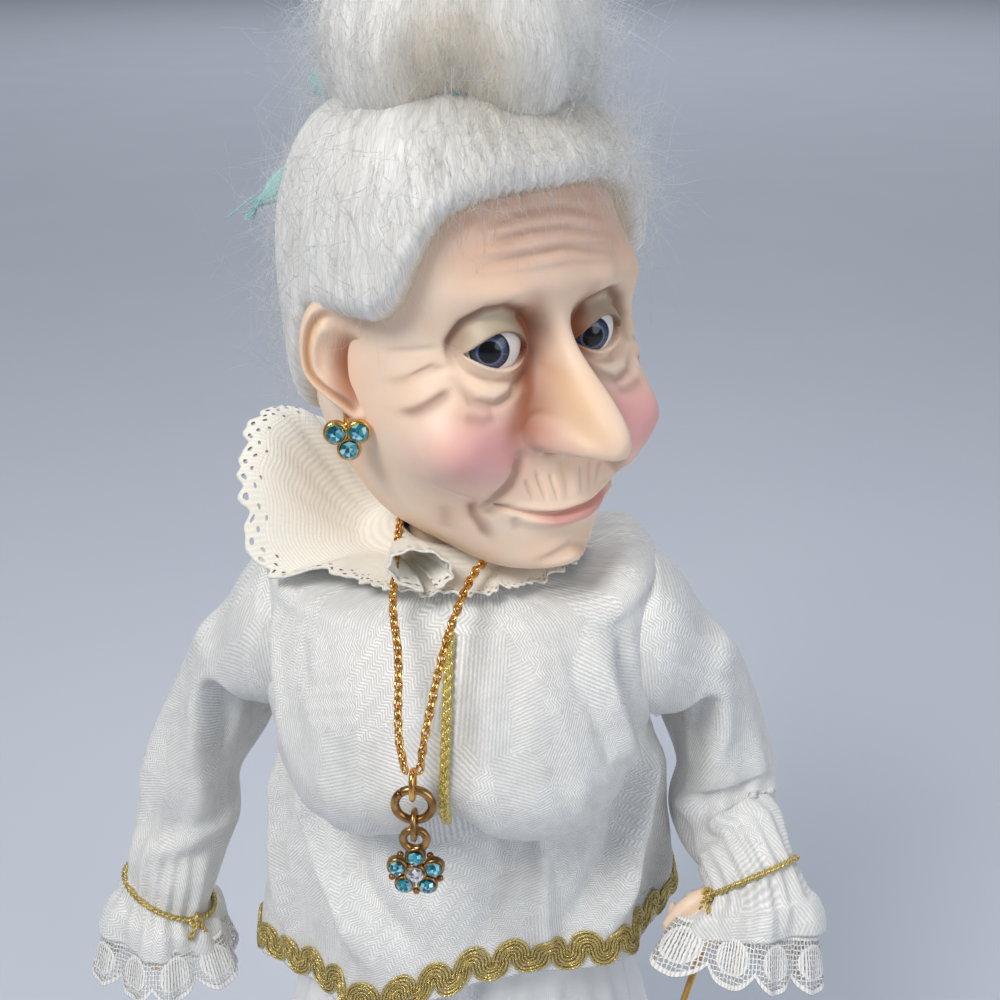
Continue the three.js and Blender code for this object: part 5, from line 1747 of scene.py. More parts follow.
# Creases of the tunic as it lies flat: points (round, up), half width and height.
CREASES = (
    (((34, 209), (42, 197), (50, 182)), 2.6, -2.4),
    (((26, 209), (34, 197), (43, 183)), 2.2, 1.7),
    (((20, 209), (27, 199), (33, 189)), 2.0, -1.3),
    (((13, 208), (19, 199), (23, 191)), 2.0, 0.8),
    (((-52, 207), (-45, 197), (-43, 185)), 2.6, -1.8),
    (((-43, 209), (-36, 198), (-34, 190)), 2.2, 1.3),
    (((-30, 209), (-25, 201)), 2.0, -0.8),
    (((50, 180), (42, 164), (31, 146)), 2.6, 4.2),
    (((41, 175), (33, 162), (23, 148)), 3.4, -3.2),
    (((-36, 174), (-27, 159), (-15, 142)), 2.4, 3.6),
    (((-26, 172), (-17, 157), (-7, 146)), 2.8, -2.8),
    (((12, 174), (15, 160), (18, 143)), 2.2, 2.4),
    (((-8, 174), (-4, 161), (-2, 150)), 2.2, 1.8),
    (((-49, 171), (-45, 156), (-39, 136)), 2.4, 2.8),
    (((60, 175), (58, 158), (56, 138)), 2.8, 2.6),
    (((4, 172), (7, 160), (6, 147)), 2.0, -1.8),
)


@dataclass
class Tunic:
    """The brocade tunic with its scroll gimp and front braid."""

    stations: tuple[tuple[float, ...], ...] = (
        (122, 45, 39, 35, 2), (150, 41, 33.5, 30.5, 2.1), (165, 38.3, 26.5, 27.5, 2.5),
        (174, 36.9, 28.5, 26, 2.5), (178.5, 37.1, 39.5, 26, 2.5), (188, 37.3, 44.5, 26, 2.5),
        (196, 37.5, 40.5, 25.5, 2.5), (204, 37.1, 35, 24.5, 2.5), (210, 36.8, 29, 23, 2.5),
        (214, 34.7, 24, 21, 2.5), (216.5, 15.5, 15.5, 14.5, 2.5),
    )
    hem: float = 128.0
    neckline: float = 216.5
    thick: float = 0.6
    rows: int = 150
    columns: int = 300
    gimp_height: float = 8.2
    gimp_strands: int = 6
    strand_gap: float = 0.66
    scroll_radius: float = 2.0
    strand: float = 0.29
    braid_low: float = 181.0
    braid_high: float = 212.0
    braid_half: float = 0.5
    braid_wire: float = 0.45
    braid_repeat: float = 4.2
    texture: tuple[float, float] = (265.0, 96.0)

    def hem_height(self, angle: Array) -> Array:
        """Height of the hem line: raised in front, dipping beside it, higher on her left."""
        dip = hump(apart(angle, np.radians(-112)), np.radians(20))
        return self.hem + 5 * np.cos(angle) + 11 * np.maximum(0, -np.sin(angle)) ** 2 - 6 * dip

    def plain(self, angle: Array, z: Array) -> Array:
        """The tunic's smooth outer face with its seven broad folds.

        Args:
            angle, z: direction and height.
        Returns:
            The places.
        """
        lobes = sum(hump(apart(angle, FRONT + k * 0.46), 0.32) for k in (-1, 1))
        notch = hump(apart(angle, FRONT), 0.13)
        under = smooth(z, 158, 172) * (1 - smooth(z, 186, 200))
        aside = smooth(apart(angle, FRONT), 0.75, 1.25)
        shifted = z + under * (3.0 * lobes - 2.8 * notch - 7.0 * aside)
        half, front, back, fullness = np.moveaxis(through(self.stations, shifted), -1, 0)
        x, y = oval(half, front, back, fullness, angle)
        fold = 1 + 1.8 * (1 - smooth(z, 128, 175)) * np.cos(7 * angle + np.sin(2 * angle)) / 45
        ridge = 3.4 * hump(np.abs(x) - 32, 6) * smooth(z, 203, 211) * (1 - smooth(np.abs(y - 4), 14, 24))
        return np.stack([x * fold, y * fold, z + ridge], -1)

    def creases(self, angle: Array, z: Array) -> Array:
        """Height of the small folds: drag lines at the armholes, a dent at the braid, swags below the bust.

        Each is a soft line on the cloth laid flat, with its direction from the front in millimetres.

        Args:
            angle, z: direction and height.
        Returns:
            The height out of the smooth face.
        """
        turn = (angle - FRONT + np.pi) % TURN - np.pi
        s = 40 * turn
        height = sum(depth * on_line(s, z, points, width) for points, width, depth in CREASES)
        rear = smooth(np.cos(turn), 0.2, -0.4)
        height = height + rear * 1.6 * (1 - smooth(z, 160, 190)) * np.cos(9 * angle + 0.6 * np.sin(z / 12))
        dent = hump(turn, 0.07) * smooth(z, 172, 182) * (1 - smooth(z, 198, 212))
        low = 0.5 * (1 - smooth(z, 140, 172)) * ripple(41, angle, z, (9, 21), 0.05)
        fine = 0.22 * (1 - smooth(z, 205, 211)) * ripple(42, angle, z, (14, 40), 0.2)
        return height * (1 - smooth(z, 209, 213)) - 1.3 * dent + low + fine

    def outward(self, angle: Array, z: Array) -> Array:
        """Direction out of the smooth face."""
        around = self.plain(angle + 0.01, z) - self.plain(angle - 0.01, z)
        return unit(np.cross(around, self.plain(angle, z + 0.2) - self.plain(angle, z - 0.2)))

    def point(self, angle: Array, z: Array, off: Array | float = 0.0) -> Array:
        """A place on the creased cloth, or so far off it."""
        off = np.asarray(off, float)
        return self.plain(angle, z) + self.outward(angle, z) * (self.creases(angle, z) + off)[..., None]

    def cloth_surface(self) -> Surface:
        """The cloth from hem to neckline: smooth face plus creases along its normal.

        Returns:
            The open cloth.
        """
        angle = directions(self.columns)[None]
        share = np.linspace(0, 1, self.rows)[:, None]
        z = self.hem_height(angle) * (1 - share) + self.neckline * share
        return Surface.grid(self.point(angle, z), self.texture, True)

    def gimp_surface(self) -> Surface:
        """Parallel strands along a meander of half circles and short uprights, laid on the hem.

        Returns:
            The strands as one surface.
        """
        angle = np.linspace(0, TURN, 1400)
        edge = self.point(angle, self.hem_height(angle))
        length = np.r_[0, np.cumsum(spans(edge))]
        repeats = int(round(length[-1] / (4 * self.scroll_radius)))
        r = length[-1] / repeats / 4
        q = np.arange(repeats * 28) / 28
        k, part = np.floor(q), q % 1
        middle = self.gimp_height / 2
        run = middle - self.strand_gap * (self.gimp_strands - 1) / 2 - r - self.strand
        strands = []
        for n in range(self.gimp_strands):
            e = (n - (self.gimp_strands - 1) / 2) * self.strand_gap
            top, low = (part - 0.1) / 0.4, (part - 0.6) / 0.4
            arch, bowl = np.pi * (1 - np.clip(top, 0, 1)), np.pi * (1 + np.clip(low, 0, 1))
            x = np.select(
                [part < 0.1, part < 0.5, part < 0.6],
                [0 * part - e, r + (r + e) * np.cos(arch), 0 * part + 2 * r + e],
                3 * r + (r - e) * np.cos(bowl),
            )
            h = np.select(
                [part < 0.1, part < 0.5, part < 0.6],
                [run * (20 * part - 1), run + (r + e) * np.sin(arch), run * (1 - 20 * (part - 0.5))],
                -run + (r - e) * np.sin(bowl),
            )
            at = np.interp((k * 4 * r + x) % length[-1], length, angle)
            z = self.hem_height(at) + middle + h
            lift = 0.3 + 0.12 * np.cos(q * 9 + n * 2.1)
            strands.append(tube(self.point(at, z, lift), self.strand, self.outward(at, z), 6, True))
        return Surface.join(*strands)

    def braid_surface(self) -> Surface:
        """Three strands plaited down the front: each swings from side to side and over and under.

        Returns:
            The strands as one surface.
        """
        z = np.linspace(self.braid_low, self.braid_high, 260)
        parts = []
        for k in range(3):
            swing = TURN * (z / self.braid_repeat + k / 3)
            at = FRONT + 0 * z
            off = 0.85 + 0.4 * np.sin(2 * swing)
            path = self.point(at, z, off) + np.stack([self.braid_half * np.sin(swing), 0 * z, 0 * z], 1)
            parts.append(tube(path, self.braid_wire, (1, 0, 0), 10))
        return Surface.join(*parts)

    def build(self) -> None:
        """Adds the cloth, the gimp and the braid."""
        made = self.cloth_surface()
        cloth = Piece("tunic_cloth", made, BROCADE, Body.FIGURE, Slot.BROCADE, ("tunic",), self.thick).add()
        for name, surface, finish, node in (
            ("scroll_gimp", self.gimp_surface(), GOLD_THREAD, "hem_gimp"),
            ("plaited_braid", self.braid_surface(), BRAID, "placket_braid"),
        ):
            Piece(name, surface, finish, Body.FIGURE, Slot.GOLD_THREAD, (node,)).add()


@dataclass
class Skirt:
    """The long satin skirt and the stuffed body inside it."""

    low: float = 1.0
    length: float = 149.0
    waist: tuple[float, float] = (25.8, 21.8)
    hem: float = 58.0
    folds: int = 11
    fold_depth: float = 4.0
    thick: float = 0.6
    torso: tuple[tuple[float, ...], ...] = (
        (116, 26, 22, 22), (133, 26, 22, 22), (150, 24, 20, 20), (165, 30, 21, 23), (175, 32.6, 24, 22.6),
        (181, 32.8, 33.6, 22.6), (188, 33, 39, 22.6), (196, 33, 35.2, 22), (204, 32, 29.4, 21),
        (208, 24, 23, 18),
    )
    fullness: float = 2.5
    texture: tuple[float, float] = (360.0, 155.0)
    torso_texture: tuple[float, float] = (200.0, 100.0)

    def cloth_surface(self) -> Surface:
        """Sections from a gathered waist to a round hem, with folds that deepen downwards.

        Returns:
            The open cloth.
        """
        t = np.linspace(0, 1, 130)[:, None]
        angle = directions(330)[None]
        spread = (1 - t) ** 0.75
        half, depth = (w + (self.hem - w) * spread for w in self.waist)
        x, y = oval(half, depth, depth, self.fullness - 0.5 * np.minimum(1, 4 * spread), angle)
        wavy = np.cos(self.folds * angle + 0.8 * np.sin(3 * angle))
        broad = self.fold_depth * smooth(spread, 0.1, 1) * wavy
        small = 0.9 * smooth(spread, 0.02, 0.3) * (1 - 0.6 * spread) * ripple(51, angle, t, (17, 30), 1.0)
        fold = 1 + (broad + small) / self.hem
        points = np.stack([x * fold, y * fold, self.low + self.length * t + 0 * x], -1)
        return Surface.grid(points, self.texture, True)

    def torso_surface(self) -> Surface:
        """The stuffed body: sections by height, closed at both ends.

        Returns:
            The closed surface.
        """
        z = np.linspace(self.torso[0][0], self.torso[-1][0], 70)[:, None]
        angle = directions(96)[None]
        half, front, back = np.moveaxis(through(self.torso, z), -1, 0)
        x, y = oval(half, front, back, self.fullness, angle)
        return Surface.grid(np.stack([x, y, z + 0 * x], -1), self.torso_texture, True, caps=True)

    def build(self) -> None:
        """Adds the skirt and the stuffed body."""
        made = self.cloth_surface()
        cloth = Piece("skirt_cloth", made, SATIN, Body.FIGURE, Slot.BROCADE, ("skirt",), self.thick).add()
        made = self.torso_surface()
        body = Piece("stuffed_body", made, Muslin(), Body.FIGURE, Slot.MUSLIN, ("torso",)).add()


@dataclass
class Ruff:
    """The lace ruff: a pleated strip round the neck, high and wide on her right, and a fold in front."""

    inner: float = 14.2
    low: float = 216.8
    levels: tuple[tuple[float, float], ...] = (
        (-360, 0.35), (-345, 0.15), (-330, 0.45), (-315, 0.2), (-300, 0.75), (-286, 0.35), (-270, 0.85),
        (-256, 0.45), (-240, 0.95), (-226, 0.6), (-206, 1.0), (-188, 0.98), (-172, 0.7), (-160, 0.22),
        (-152, 0.02), (-146, 0.05), (-138, 0.3), (-128, 0.08), (-110, 0.0), (-48, 0.0), (0, 0.0),
        (15, 0.12), (30, 0.4),
    )
    thick: float = 0.45
    texture: tuple[float, float] = (230.0, 27.0)
    fold_path: tuple[tuple[float, ...], ...] = (
        (-9.5, -12.5, 220.4), (-8, -17, 222.2), (-6.4, -21.5, 223.4), (-4.8, -26.4, 223.8),
    )
    fold_thick: float = 0.4
    fold_texture: tuple[float, float] = (21.0, 27.0)
    fold_bends: tuple[float, float] = (217.5, 222.0)

    def point(self, angle: Array, t: Array) -> Array:
        """A place on the strip, from the neck at t 0 to the free edge at t 1.

        Direction sets how far the strip reaches and how high its pleats stand; they grow to the edge.

        Args:
            angle: direction from the neck.
            t: place across the strip.
        Returns:
            The places.
        """
        right = hump(apart(angle, np.pi), np.radians(55))
        front = 1 - smooth(apart(angle, np.radians(-48)), np.radians(84), np.radians(112))
        reach = 19 + 7.5 * right - 9.5 * front
        table = np.array(self.levels)
        degrees = (np.degrees(angle) % 360) - 360
        fine = np.arange(-360, 1)
        window = np.hanning(13) / np.hanning(13).sum()
        stand = np.convolve(np.interp(np.arange(-366, 7), table[:, 0], table[:, 1]), window, "same")
        level = np.interp(degrees, fine, stand[6:-6])
        uneven = 0.5 * ripple(57, angle, 0 * t, (30, 90), 0.0)
        scallop = (0.5 * np.abs(np.cos(46 * angle)) + uneven) * smooth(t, 0.85, 1)
        collar = 1 - smooth(t, 0, 0.16)
        r = self.inner - 2.8 * collar + (reach + scallop) * t**0.85 + 0.5 * t * np.cos(29 * angle)
        height = (14 + 9 * right) * (1 - front) + 4 * front
        rise = height * (level - 0.12 * (1 - front)) * smooth(t, 0.1, 0.95) + 3.0 * right * t * (1 - t)
        z = self.low + 1.2 + 2.6 * collar + rise + 0.35 * t * np.cos(17 * angle + 2 * np.sin(3 * angle))
        return np.stack([r * np.cos(angle), r * np.sin(angle), z], -1)

    def strip_surface(self) -> Surface:
        """The strip as directions round the neck by places across it.

        Returns:
            The open strip.
        """
        angle = directions(520)[None]
        t = np.linspace(0, 1, 44)[:, None]
        return Surface.grid(self.point(angle, t), self.texture, True)

    def fold_surface(self) -> Surface:
        """A pleat of lace under the jaw: a strip rolled round an axis that leans forward, open in front.

        Returns:
            The open strip.
        """
        path = curve(np.array(self.fold_path), 60)
        t = np.linspace(0, 1, 60)
        _, across, up = path_frame(path, (1, 0, -0.35))
        turn = np.linspace(-0.9, TURN - 1.3, 70)
        wide, tall = (2.4 + 3.4 * t)[:, None, None], (1.8 + 1.8 * t)[:, None, None]
        wavy = (1 + 0.05 * np.cos(9 * turn) + 0.1 * turn / TURN)[None, :, None]
        c, s = np.cos(turn)[None, :, None], np.sin(turn)[None, :, None]
        points = path[:, None] + wavy * (wide * c * across[:, None] + tall * s * up[:, None])
        return Surface.grid(points, self.fold_texture)

    def build(self) -> None:
        """Adds the strip and the fold."""
        made = self.strip_surface()
        strip = Piece("ruff_strip", made, COTTON, Body.FIGURE, Slot.LACE, ("lace_ruff",), self.thick).add()
        low, high = ((0, 0, z) for z in self.fold_bends)
        fold = Piece(
            "ruff_fold", self.fold_surface(), COTTON, Body.HEAD, Slot.LACE, (), self.fold_thick,
            bends_from=(Body.FIGURE, low, high),
        ).add()


@dataclass
class Sleeve:
    """One arm: sleeve with frill, cord, lace cuff and the vinyl arm with its hand."""

    side: Side
    shoulder: tuple[float, float, float] = (38.0, 2.0, 196.0)
    radius: float = 13.0
    head: float = 15.5
    slope: float = 1.35
    arm: float = 8.5
    tie: float = 8.6
    slant: float = 4.0
    frill_drop: float = 9.5
    lace_drop: float = 9.5
    cord: float = 0.36
    thick: float = 0.6
    lace_thick: float = 0.25
    girth: float = 76.0
    lace_texture: tuple[float, float] = (99.0, 10.5)
    bend_width: float = 9.0
    peg: float = 30.0
    voxel: float = 0.45
    smoothings: int = 6

    @property
    def forearm(self) -> tuple[tuple[float, ...], ...]:
        """Places of the arm's middle below the shoulder, and the sleeve's radius there.

        Returns:
            Rows of x, y, z and radius, with x out from the doll's middle.
        """
        if self.side is Side.LEFT:
            return (
                (49.8, 1.5, 175, 11), (52.5, -1, 163.5, 11.6),
                (54.6, -6.6, 157.8, 11.2), (56.5, -11, 155.3, 10),
            )
        return ((51.6, 1, 174, 11.4), (57, -1.5, 160, 11.6), (61, -5, 148, 10.8), (62.6, -7.4, 141, 9.8))

    @property
    def wrist(self) -> tuple[Array, Array, Array]:
        """The wrist, the way to the hand and the way that the cuff falls.

        Returns:
            A place and two unit directions.
        """
        if self.side is Side.LEFT:
            at, hand, fall = (57.8, -17.4, 151.3), (-0.66, -0.48, -0.58), (-0.12, -0.5, -0.86)
        else:
            at, hand, fall = (63.4, -9, 135.5), (-0.08, -0.18, -0.98), (0, -0.16, -0.98)
        flip = np.array((self.side.value, 1, 1))
        return np.array(at) * flip, unit(np.array(hand) * flip), unit(np.array(fall) * flip)

    @property
    def cuff(self) -> tuple[float, float]:
        """Radius of the frill's edge and of the lace's edge."""
        return (11.4, 13.2) if self.side is Side.LEFT else (11.3, 14.0)

    def bend(self, wide: float, head: float, slope: float, degrees: tuple[float, ...]) -> Array:
        """Places on the shoulder's bend with two radii: rings about the armpit under a sloping line.

        Args:
            wide: radius from front to back.
            head: height over the armpit.
            slope: fall of the shoulder's line.
            degrees: turn of each ring.
        Returns:
            Rows of x, y, z and the two radii.
        """
        turn = np.radians(np.array(degrees))
        deep = head / (np.cos(turn) + slope * np.sin(turn))
        x = self.shoulder[0] + 0.3 + deep * np.sin(turn)
        z = self.shoulder[2] - wide + deep * np.cos(turn)
        return np.stack([self.side.value * x, 0 * x + self.shoulder[1], z, 0 * x + wide, deep], 1)

    def towards_hand(self, out: Array) -> Array:
        """How far each direction out of the cuff points to the side where the hand leaves it.

        Args:
            out: unit directions.
        Returns:
            0 to 1 for each direction.
        """
        _, hand, fall = self.wrist
        aside = unit(hand - (hand @ fall) * fall)
        return np.clip(out @ aside, 0, 1) ** 3 * np.linalg.norm(hand - (hand @ fall) * fall)

    def ringed(
        self, places: Array, rows: int, columns: int, leans: tuple[float, ...] = ()
    ) -> tuple[Array, Array, Array, Array]:
        """Rows and directions round a path of places with radii.

        Args:
            places: x, y, z and two radii at each place.
            rows, columns: size of the grid.
            leans: degrees that the first rings lean out; the others stand square to the path.
        Returns:
            Middle, unit direction out, plain radius and direction angle; the angle is 0 behind, a quarter
            turn on the outside and a half turn in front, on both sides of the doll.
        """
        line = curve(places, rows)
        _, across, up = path_frame(line[:, :3], (0, 1, 0))
        angle = directions(columns)[None]
        up = up * self.side.value
        if leans:
            key = np.r_[0, np.cumsum(spans(places[:, :3]))]
            far = np.r_[0, np.cumsum(spans(line[:, :3]))]
            lean = np.radians(np.interp(far, key[: len(leans)], leans))
            free = smooth(far, key[len(leans) - 2], key[len(leans)])[:, None]
            own = np.stack([self.side.value * np.sin(lean), 0 * lean, np.cos(lean)], 1)
            up, across = unit(own + free * (up - own)), unit((1 - free) * (0, 1, 0) + free * across)
        wide, deep = line[:, 3, None], line[:, 4, None]
        sideways = (wide * np.cos(angle))[..., None] * across[:, None]
        vector = sideways + (deep * np.sin(angle))[..., None] * up[:, None]
        reach = np.linalg.norm(vector, axis=-1)
        return line[:, None, :3], unit(vector), reach, angle

    def hanging(self, drops: tuple[tuple[float, float], ...]) -> Array:
        """Places of the cuff with two radii, from rows of distance below the wrist and radius."""
        at, _, fall = self.wrist
        return np.array([np.r_[at + fall * d, r, r] for d, r in drops])

    def cloth_surface(self) -> Surface:
        """Sleeve and frill: rings along the arm, with a hollow below the seam, ridges and gathers on them.

        The seam hangs over a hollow in front, whose outer ridge runs forward on the way down; a crease
        crosses below it. At the cord the rings slant, higher on the outside.

        Returns:
            The open cloth.
        """
        frill, _ = self.cuff
        bend = self.bend(self.radius, self.head, self.slope, (0, 22, 45, 68))
        bend[:, 1] += (-4.5, -3, -1.5, -0.5)
        bend[:, 3] = (16.5, 15.2, 13.4, 12.4)
        inner = np.r_[bend[0, :3] - (self.side.value * 5.0, 0.5, -1.0), 16.6, self.head]
        limb = np.array([(self.side.value * x, y, z, r, r) for x, y, z, r in self.forearm])
        drop = self.frill_drop
        drops = ((0, self.tie), (0.45 * drop, 0.55 * (self.tie + frill)), (drop, frill))
        places = np.vstack([inner, bend, limb, self.hanging(drops)])
        middle, out, reach, angle = self.ringed(places, 180, 160, (0, 0, 22, 45, 68))
        steps = spans(places[:, :3])
        tie, seam = steps[:-2].sum(), steps[:3].sum()
        u = np.linspace(0, steps.sum(), 180)[:, None]
        t = u / tie
        degrees = np.degrees(angle)
        below = smooth(u, seam - 0.6, seam + 3.0)
        away = degrees - 150 - 45 * smooth(t, 0.25, 0.72)
        hollow = -4.4 * below * (1 - smooth(t, 0.58, 0.76))
        hollow = hollow * smooth(away, 4, 34) * (1 - smooth(away, 95, 135))
        ridge = 1.4 * below * (1 - smooth(t, 0.64, 0.8)) * hump(away, 11)
        corner = 1.8 * hump(u - seam, 2.2) * hump(apart(angle, np.radians(112)), np.radians(26))
        lip = 0.8 * hump(u - seam, 1.8) * smooth(degrees, 110, 150) * (1 - smooth(degrees, 240, 280))
        crease = 1.2 * on_line(0.19 * degrees, 64 * t, ((51, 43), (41, 49), (30, 56)), 2.2)
        dent = -0.9 * on_line(0.19 * degrees, 64 * t, ((49, 49), (40, 54), (31, 60)), 2.4)
        elbow = -3.4 * hump(t - 0.79, 0.1) * hump(degrees - 170, 68)
        soft = 0.6 * smooth(t, 0.25, 0.5) * ripple(61 + self.side.value, angle, 12 * t, (3, 8), 0.5)
        gather = 0.5 * hump(t - 1.0, 0.14) * np.cos(15 * angle + 2 * np.sin(2 * angle))
        loose = smooth(t, 1.0, 1.13)
        flare = 3.4 * hump(apart(angle, np.radians(100)), 0.95) + 5.0 * self.towards_hand(out)
        ruffle = loose * (1.1 * np.cos(6 * angle + 1.2 * np.sin(angle)) + flare)
        reach = reach + hollow + ridge + corner + lip + crease + dent + elbow + soft + gather + ruffle
        slant = self.slant * np.sin(angle) * hump(t - 1.0, 0.2)
        along = unit(np.gradient(middle[:, 0], axis=0))[:, None]
        grid = middle + out * reach[..., None] - along * slant[..., None]
        return self.mirrored(grid, (self.girth, float(steps.sum())))

    def mirrored(self, grid: Array, size: tuple[float, float]) -> Surface:
        """A ringed grid with its faces out on either side."""
        return Surface.grid(grid if self.side is Side.LEFT else grid[:, ::-1], size, True)

    def lace_surface(self) -> Surface:
        """Net cuff: rings below the frill in deepening pleats, pushed out where the hand leaves it.

        Returns:
            The open lace.
        """
        frill, lace = self.cuff
        drops = (
            (self.frill_drop - 1.4, frill - 0.7),
            (self.frill_drop + 0.5 * self.lace_drop, 0.5 * (frill + lace)),
            (self.frill_drop + self.lace_drop, lace),
        )
        middle, out, reach, angle = self.ringed(self.hanging(drops), 26, 300)
        t = np.linspace(0, 1, 26)[:, None]
        pleat = (0.9 + 0.6 * t) * np.cos(6 * angle + 1.2 * np.sin(angle)) + 0.5 * t * np.cos(17 * angle)
        lean = 3.0 * (1 - 0.4 * t) * hump(apart(angle, np.radians(100)), 0.95)
        reach = reach + pleat + lean + (5.0 + 4.0 * t) * self.towards_hand(out)
        return self.mirrored(middle + out * reach[..., None], self.lace_texture)

    def cord_surface(self) -> Surface:
        """Two-ply cord tied round the gathers on a slant, with a knot and two short tails in front.

        Returns:
            The plies as one surface.
        """
        at, _, fall = self.wrist
        last = np.array(self.forearm[-1][:3]) * (self.side.value, 1, 1)
        along = unit(unit(at - last) + fall)
        outside = np.array((self.side.value, 0.0, 0.0))
        outside = unit(outside - (outside @ along) * along)
        across = np.cross(along, outside)
        ring = self.tie + 0.85

        def around(t: Array, r: Array | float) -> Array:
            """Places on the slanted ring at such angles from the outside.

            Args:
                t: the angles.
                r: distance from the wrist.
            Returns:
                The places.
            """
            r = np.asarray(r, float)[..., None]
            c, s = np.cos(t)[..., None], np.sin(t)[..., None]
            return at + r * (c * outside + s * across) - self.slant * c * along

        t = directions(330)
        plies = []
        for k in (0, np.pi):
            twist = 26 * t + k
            path = around(t, ring + 0.3 * np.cos(twist)) + 0.3 * np.sin(twist)[:, None] * along
            plies.append(tube(path, self.cord, along, 7, True))
        way = np.argmin(around(t, ring) @ np.array((0.8 * self.side.value, 0.7, 0.0)))
        knot = around(t[way], ring + 0.6)
        front = unit(knot - at)
        side = np.cross(along, front)
        s = directions(90)[:, None]
        over = (np.sin(s) + 2 * np.sin(2 * s)) * side * 0.45
        trefoil = over + (np.cos(s) - 2 * np.cos(2 * s)) * along * 0.4
        plies.append(tube(knot + trefoil - 0.5 * np.sin(3 * s) * front, 0.42, front, 8, True))
        for sway, drop in ((-2.2, 4.6), (2.0, 3.4)):
            bow = knot + sway * 0.6 * side + 0.4 * drop * along + 0.8 * front
            end = knot + sway * side + drop * along + 0.6 * front
            line = curve(np.array([knot, bow, end]), 40)
            _, first, second = path_frame(line, side)
            turn = np.linspace(0, TURN * drop / 1.9, 40)[:, None]
            for k in (0, np.pi):
                wound = np.cos(turn + k) * first + np.sin(turn + k) * second
                plies.append(tube(line + 0.28 * wound, 0.33, side, 7))
        return Surface.join(*plies)

    def hand_axes(self) -> tuple[Array, Array, Array]:
        """The hand's own directions: along it, across the knuckles and towards the palm.

        Returns:
            Three unit directions.
        """
        _, down, _ = self.wrist
        lean = np.array((0, 0, 1.0)) if abs(down[2]) < 0.8 else np.array((0, 1.0, 0))
        across = unit(lean - (lean @ down) * down)
        return down, across, np.cross(down, across) * self.side.value

    def arm_surface(self) -> Surface:
        """The arm from its shoulder peg to curled fingers: tapered wires and a palm that a remesh joins.

        Returns:
            The overlapping parts as one surface.
        """
        at, _, _ = self.wrist
        along, across, inward = self.hand_axes()

        def place(a: float, b: float, c: float) -> Array:
            """A point of the hand's own frame."""
            return at + a * along + b * across + c * inward

        def finger(joints: list[Array], radii: tuple[float, ...], lean: Array) -> Surface:
            """A wire through the joints, narrowed at both ends."""
            line = curve(np.c_[joints, radii], 30)
            return tube(line[:, :3], line[:, 3] * np.sqrt(np.sin(np.linspace(0.5, 2.9, 30))), lean, 12)

        flip = np.array((self.side.value, 1, 1))
        peg = np.array((self.peg, *self.shoulder[1:])) * flip
        bend = self.bend(self.arm, self.arm, 0.8, (0, 30, 60))[:, :3]
        limb = np.array([row[:3] for row in self.forearm]) * flip
        spine = np.vstack([peg, bend, limb, at, place(7, 0, 0)])
        radius = np.r_[5, 5.2, 5.6, 5.4, 5.2, 5.2, 5.2, 5.2, 5.1, 4.6]
        path = curve(np.c_[spine, radius], 130)
        parts = [tube(path[:, :3], path[:, 3], (0, 1, 0), 26)]
        basis = np.stack([8.0 * along, 5.6 * across, 3.4 * np.cross(along, across)])
        parts.append(ball(place(10, 0, 0), basis))
        for b in (-4.0, -1.35, 1.35, 4.0):
            reach = 1 - 0.05 * abs(b)
            joints = [
                place(11, b, 0.2), place(16 * reach, b * 1.02, 0.9),
                place(20 * reach, b * 0.9, 4.0), place(17.2 * reach, b * 0.85, 7.4),
            ]
            parts.append(finger(joints, (1.75, 1.75, 1.6, 1.3), across))
        thumb = [place(6, 4.0, 0.8), place(12, 5.6, 2.6), place(18.5, 4.4, 4.6)]
        parts.append(finger(thumb, (2.1, 1.9, 1.5), inward))
        return Surface.join(*parts)

    def build(self) -> None:
        """Adds the sleeve, lace, cord and arm."""
        arm, label = self.side.arm, self.side.label
        start = np.array(self.shoulder) * (self.side.value, 1, 1)
        end = start + (self.side.value * self.bend_width, 0, 0)
        sleeve = Piece(
            f"{label}_sleeve_cloth", self.cloth_surface(), BROCADE, arm, Slot.BROCADE,
            (f"{label}_sleeve",), self.thick, bends_from=(Body.FIGURE, start, end),
        ).add()
        lace = Piece(
            f"{label}_net_cuff", self.lace_surface(), NET, arm, Slot.LACE,
            (f"{label}_cuff_lace",), self.lace_thick,
        ).add()
        Piece(
            f"{label}_tied_cord", self.cord_surface(), GOLD_THREAD, arm, Slot.GOLD_THREAD,
            (f"{label}_cuff_cord",),
        ).add()
        skin = Piece(f"{label}_bare_arm", self.arm_surface(), SKIN, arm, Slot.SKIN, (f"{label}_arm",)).add()
        join = skin.modifiers.new("join", "REMESH")
        join.mode, join.voxel_size, join.use_smooth_shade = "VOXEL", self.voxel * MM, True
        even = skin.modifiers.new("even", "SMOOTH")
        even.factor, even.iterations = 0.5, self.smoothings


# Jewellery


